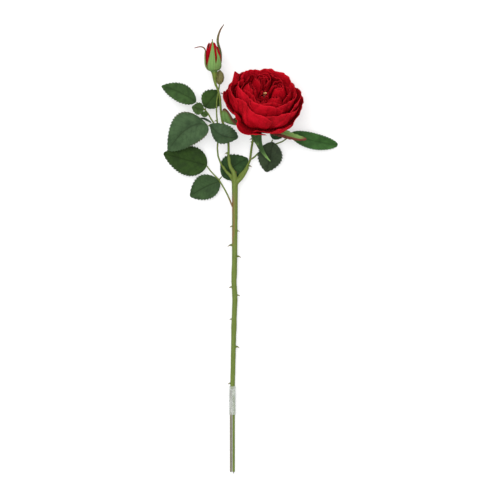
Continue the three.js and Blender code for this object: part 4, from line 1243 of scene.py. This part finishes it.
# %% [markdown]
# ## What the petals stand on
# The core and the bud's rolled heart are hardly seen between the petals, so a speckled dark red is enough.
# The stamen button in the middle catches the eye: it is a yellow crumb with red-brown pits.

# %% Core, bud heart and stamens
def core_red():
    core = Shader("flower core")
    specks = core.noise(core.place(), 300)
    return core.finish(core.colour(specks, (0.10, 0.005, 0.005), (0.2, 0.02, 0.01)), 0.8 + 0.1 * specks)


def bud_heart_paper():
    heart = Shader("bud heart", Sheen_Weight=0.3)
    specks = heart.fibres(0.2, 500)
    return heart.finish(heart.colour(specks, (0.22, 0.0, 0.002), (0.45, 0.005, 0.012)), 0.7 + 0.2 * specks)


def stamen_crumb():
    button = Shader("stamen button")
    pits = button.noise(button.place(), 500)
    shade = button.colour(button.between(pits, 0.4, 0.6), (0.22, 0.04, 0.01), (0.75, 0.45, 0.17))
    return button.finish(shade, 0.8, button.bump(pits, 0.6, 0.0005))


paint([CORE], core_red())
paint([BUD_HEART], bud_heart_paper())
paint([BUTTON], stamen_crumb())

# %% [markdown]
# ## Wire and clear band
# Two strands and a thin wire come out of the stem's foot, held by a turn of clear film. The wire is dull
# dark metal with drawn scratches. The film could be glass, but so thin a film shows as a milky haze with
# clear patches, so its Alpha follows a noise and a light coat gives it its shine.

# %% Wire and film
def dark_wire():
    steel = Shader("dark wire", Metallic=0.8)
    scratch = steel.fibres(0.05, 900, 3)
    return steel.finish(steel.colour(scratch, (0.03, 0.03, 0.035), (0.14, 0.14, 0.15)), 0.35 + 0.2 * scratch)


def clear_film():
    film = Shader("clear film", Coat_Weight=0.5, Coat_Roughness=0.1)
    haze = film.fibres(0.3, 200)
    film.feed(film.principled.inputs["Alpha"], 0.22 + 0.3 * film.between(haze, 0.5, 0.75))
    shade = film.colour(haze, (0.50, 0.54, 0.50), (0.75, 0.78, 0.75))
    return film.finish(shade, 0.2 + 0.3 * haze, film.bump(haze, 0.5, 0.0008))


paint([WIRE], dark_wire())
paint([TAPE], clear_film())

# %% [markdown]
# ## White table
# The rose lies on a white table and throws a soft shadow on it. The camera sees half of the table's own
# surface and half of a white glow, which keeps the background white and the shadow pale. Lamps strong enough
# to do that would bleach the petals. No light from the glow reaches the rose.

# %% Make the table
bpy.ops.object.select_all(action="DESELECT")
bpy.ops.mesh.primitive_plane_add(size=8, location=(0, 0, -0.0002))
table = bpy.context.object
table.name = "table"
table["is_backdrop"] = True


def table_white():
    white = Shader("white table")
    speck = white.noise(white.place(), 30, 3)
    white.finish(white.colour(speck, (0.90, 0.90, 0.90), (0.93, 0.93, 0.93)), 0.9 + 0.05 * speck)
    glow = white.add("ShaderNodeEmission", {"Color": (1, 1, 1, 1), "Strength": 1.0})
    share = white.add("ShaderNodeLightPath", output="Is Camera Ray") * 0.5
    own = Wire(white, white.principled.outputs["BSDF"])
    white.feed(white.output.inputs["Surface"], white.add("ShaderNodeMixShader", {0: share, 1: own, 2: glow}))
    return white.material


paint([table], table_white())

# %% [markdown]
# ## Soft light from all round
# The world gives a weak, even light, so that no fold is quite black. To the camera it is plain white, as
# the table is. A picture of a studio could light the rose too, but a plain world gives no false gloss.

# %% Make the world
world = bpy.data.worlds.new("studio")
bpy.context.scene.world = world
world.use_nodes = True
tree = world.node_tree
tree.nodes.clear()


def backdrop(strength):
    node = tree.nodes.new("ShaderNodeBackground")
    node.inputs["Color"].default_value = (1, 1, 1, 1)
    node.inputs["Strength"].default_value = strength
    return node.outputs[0]


rays = tree.nodes.new("ShaderNodeLightPath")
choose = tree.nodes.new("ShaderNodeMixShader")
sky = tree.nodes.new("ShaderNodeOutputWorld")
tree.links.new(rays.outputs["Is Camera Ray"], choose.inputs["Fac"])
tree.links.new(backdrop(0.4), choose.inputs[1])
tree.links.new(backdrop(1), choose.inputs[2])
tree.links.new(choose.outputs[0], sky.inputs["Surface"])
print("world nodes:", len(tree.nodes))

# %% [markdown]
# ## Two soft lamps
# A large key lamp hangs to the upper left and models the bowl and the leaves. A weaker one on the other side
# opens the shadows. Both are far wider than the flower, as a softbox is, so their shadows have no hard rim.

# %% Hang the lamps
def area_light(name, location, size, watts):
    bpy.ops.object.light_add(type="AREA", location=location)
    lamp = bpy.context.object
    lamp.name = name
    lamp.data.shape = "SQUARE"
    lamp.data.size = size
    lamp.data.energy = watts
    aim = Vector((0, 0.1, 0)) - Vector(location)
    lamp.rotation_euler = aim.to_track_quat("-Z", "Y").to_euler()
    print(name, "lamp:", watts, "watts from", round(aim.length, 2), "m")


area_light("key", (-0.5, 0.75, 2.5), 2.4, 79)
area_light("fill", (0.5, -0.6, 2.7), 2.0, 24)

# %% [markdown]
# ## A camera that looks straight down
# The rose is seen from above, with hardly any perspective, so a long lens hangs high over the table. At that
# height `VIEW_WIDTH_MM` of the table fill the picture's width.

# %% Hang the camera
LENS_MM, SENSOR_MM, VIEW_WIDTH_MM = 270, 36, 670
camera = bpy.data.cameras.new("camera")
camera.lens = LENS_MM
camera.sensor_width = SENSOR_MM
camera_object = bpy.data.objects.new("camera", camera)
bpy.context.scene.collection.objects.link(camera_object)
camera_object.location = (0.0004, -0.0004, VIEW_WIDTH_MM * LENS_MM / SENSOR_MM / 1000)
bpy.context.scene.camera = camera_object
bpy.context.scene.view_settings.view_transform = "Standard"
print("camera height in m:", round(camera_object.location.z, 3))

# %% [markdown]
# The dressed rose must stay within the frame's own size. Both boxes are kept and printed, the frame's from
# straight after loading and the finished rose's from now.

# %% Print both sizes
low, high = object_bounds()
END_SIZE = [list(low), list(high)]
for corner, a, b in zip(("low", "high"), START_SIZE, END_SIZE):
    print(corner, [round(v * 1000, 1) for v in a], [round(v * 1000, 1) for v in b])
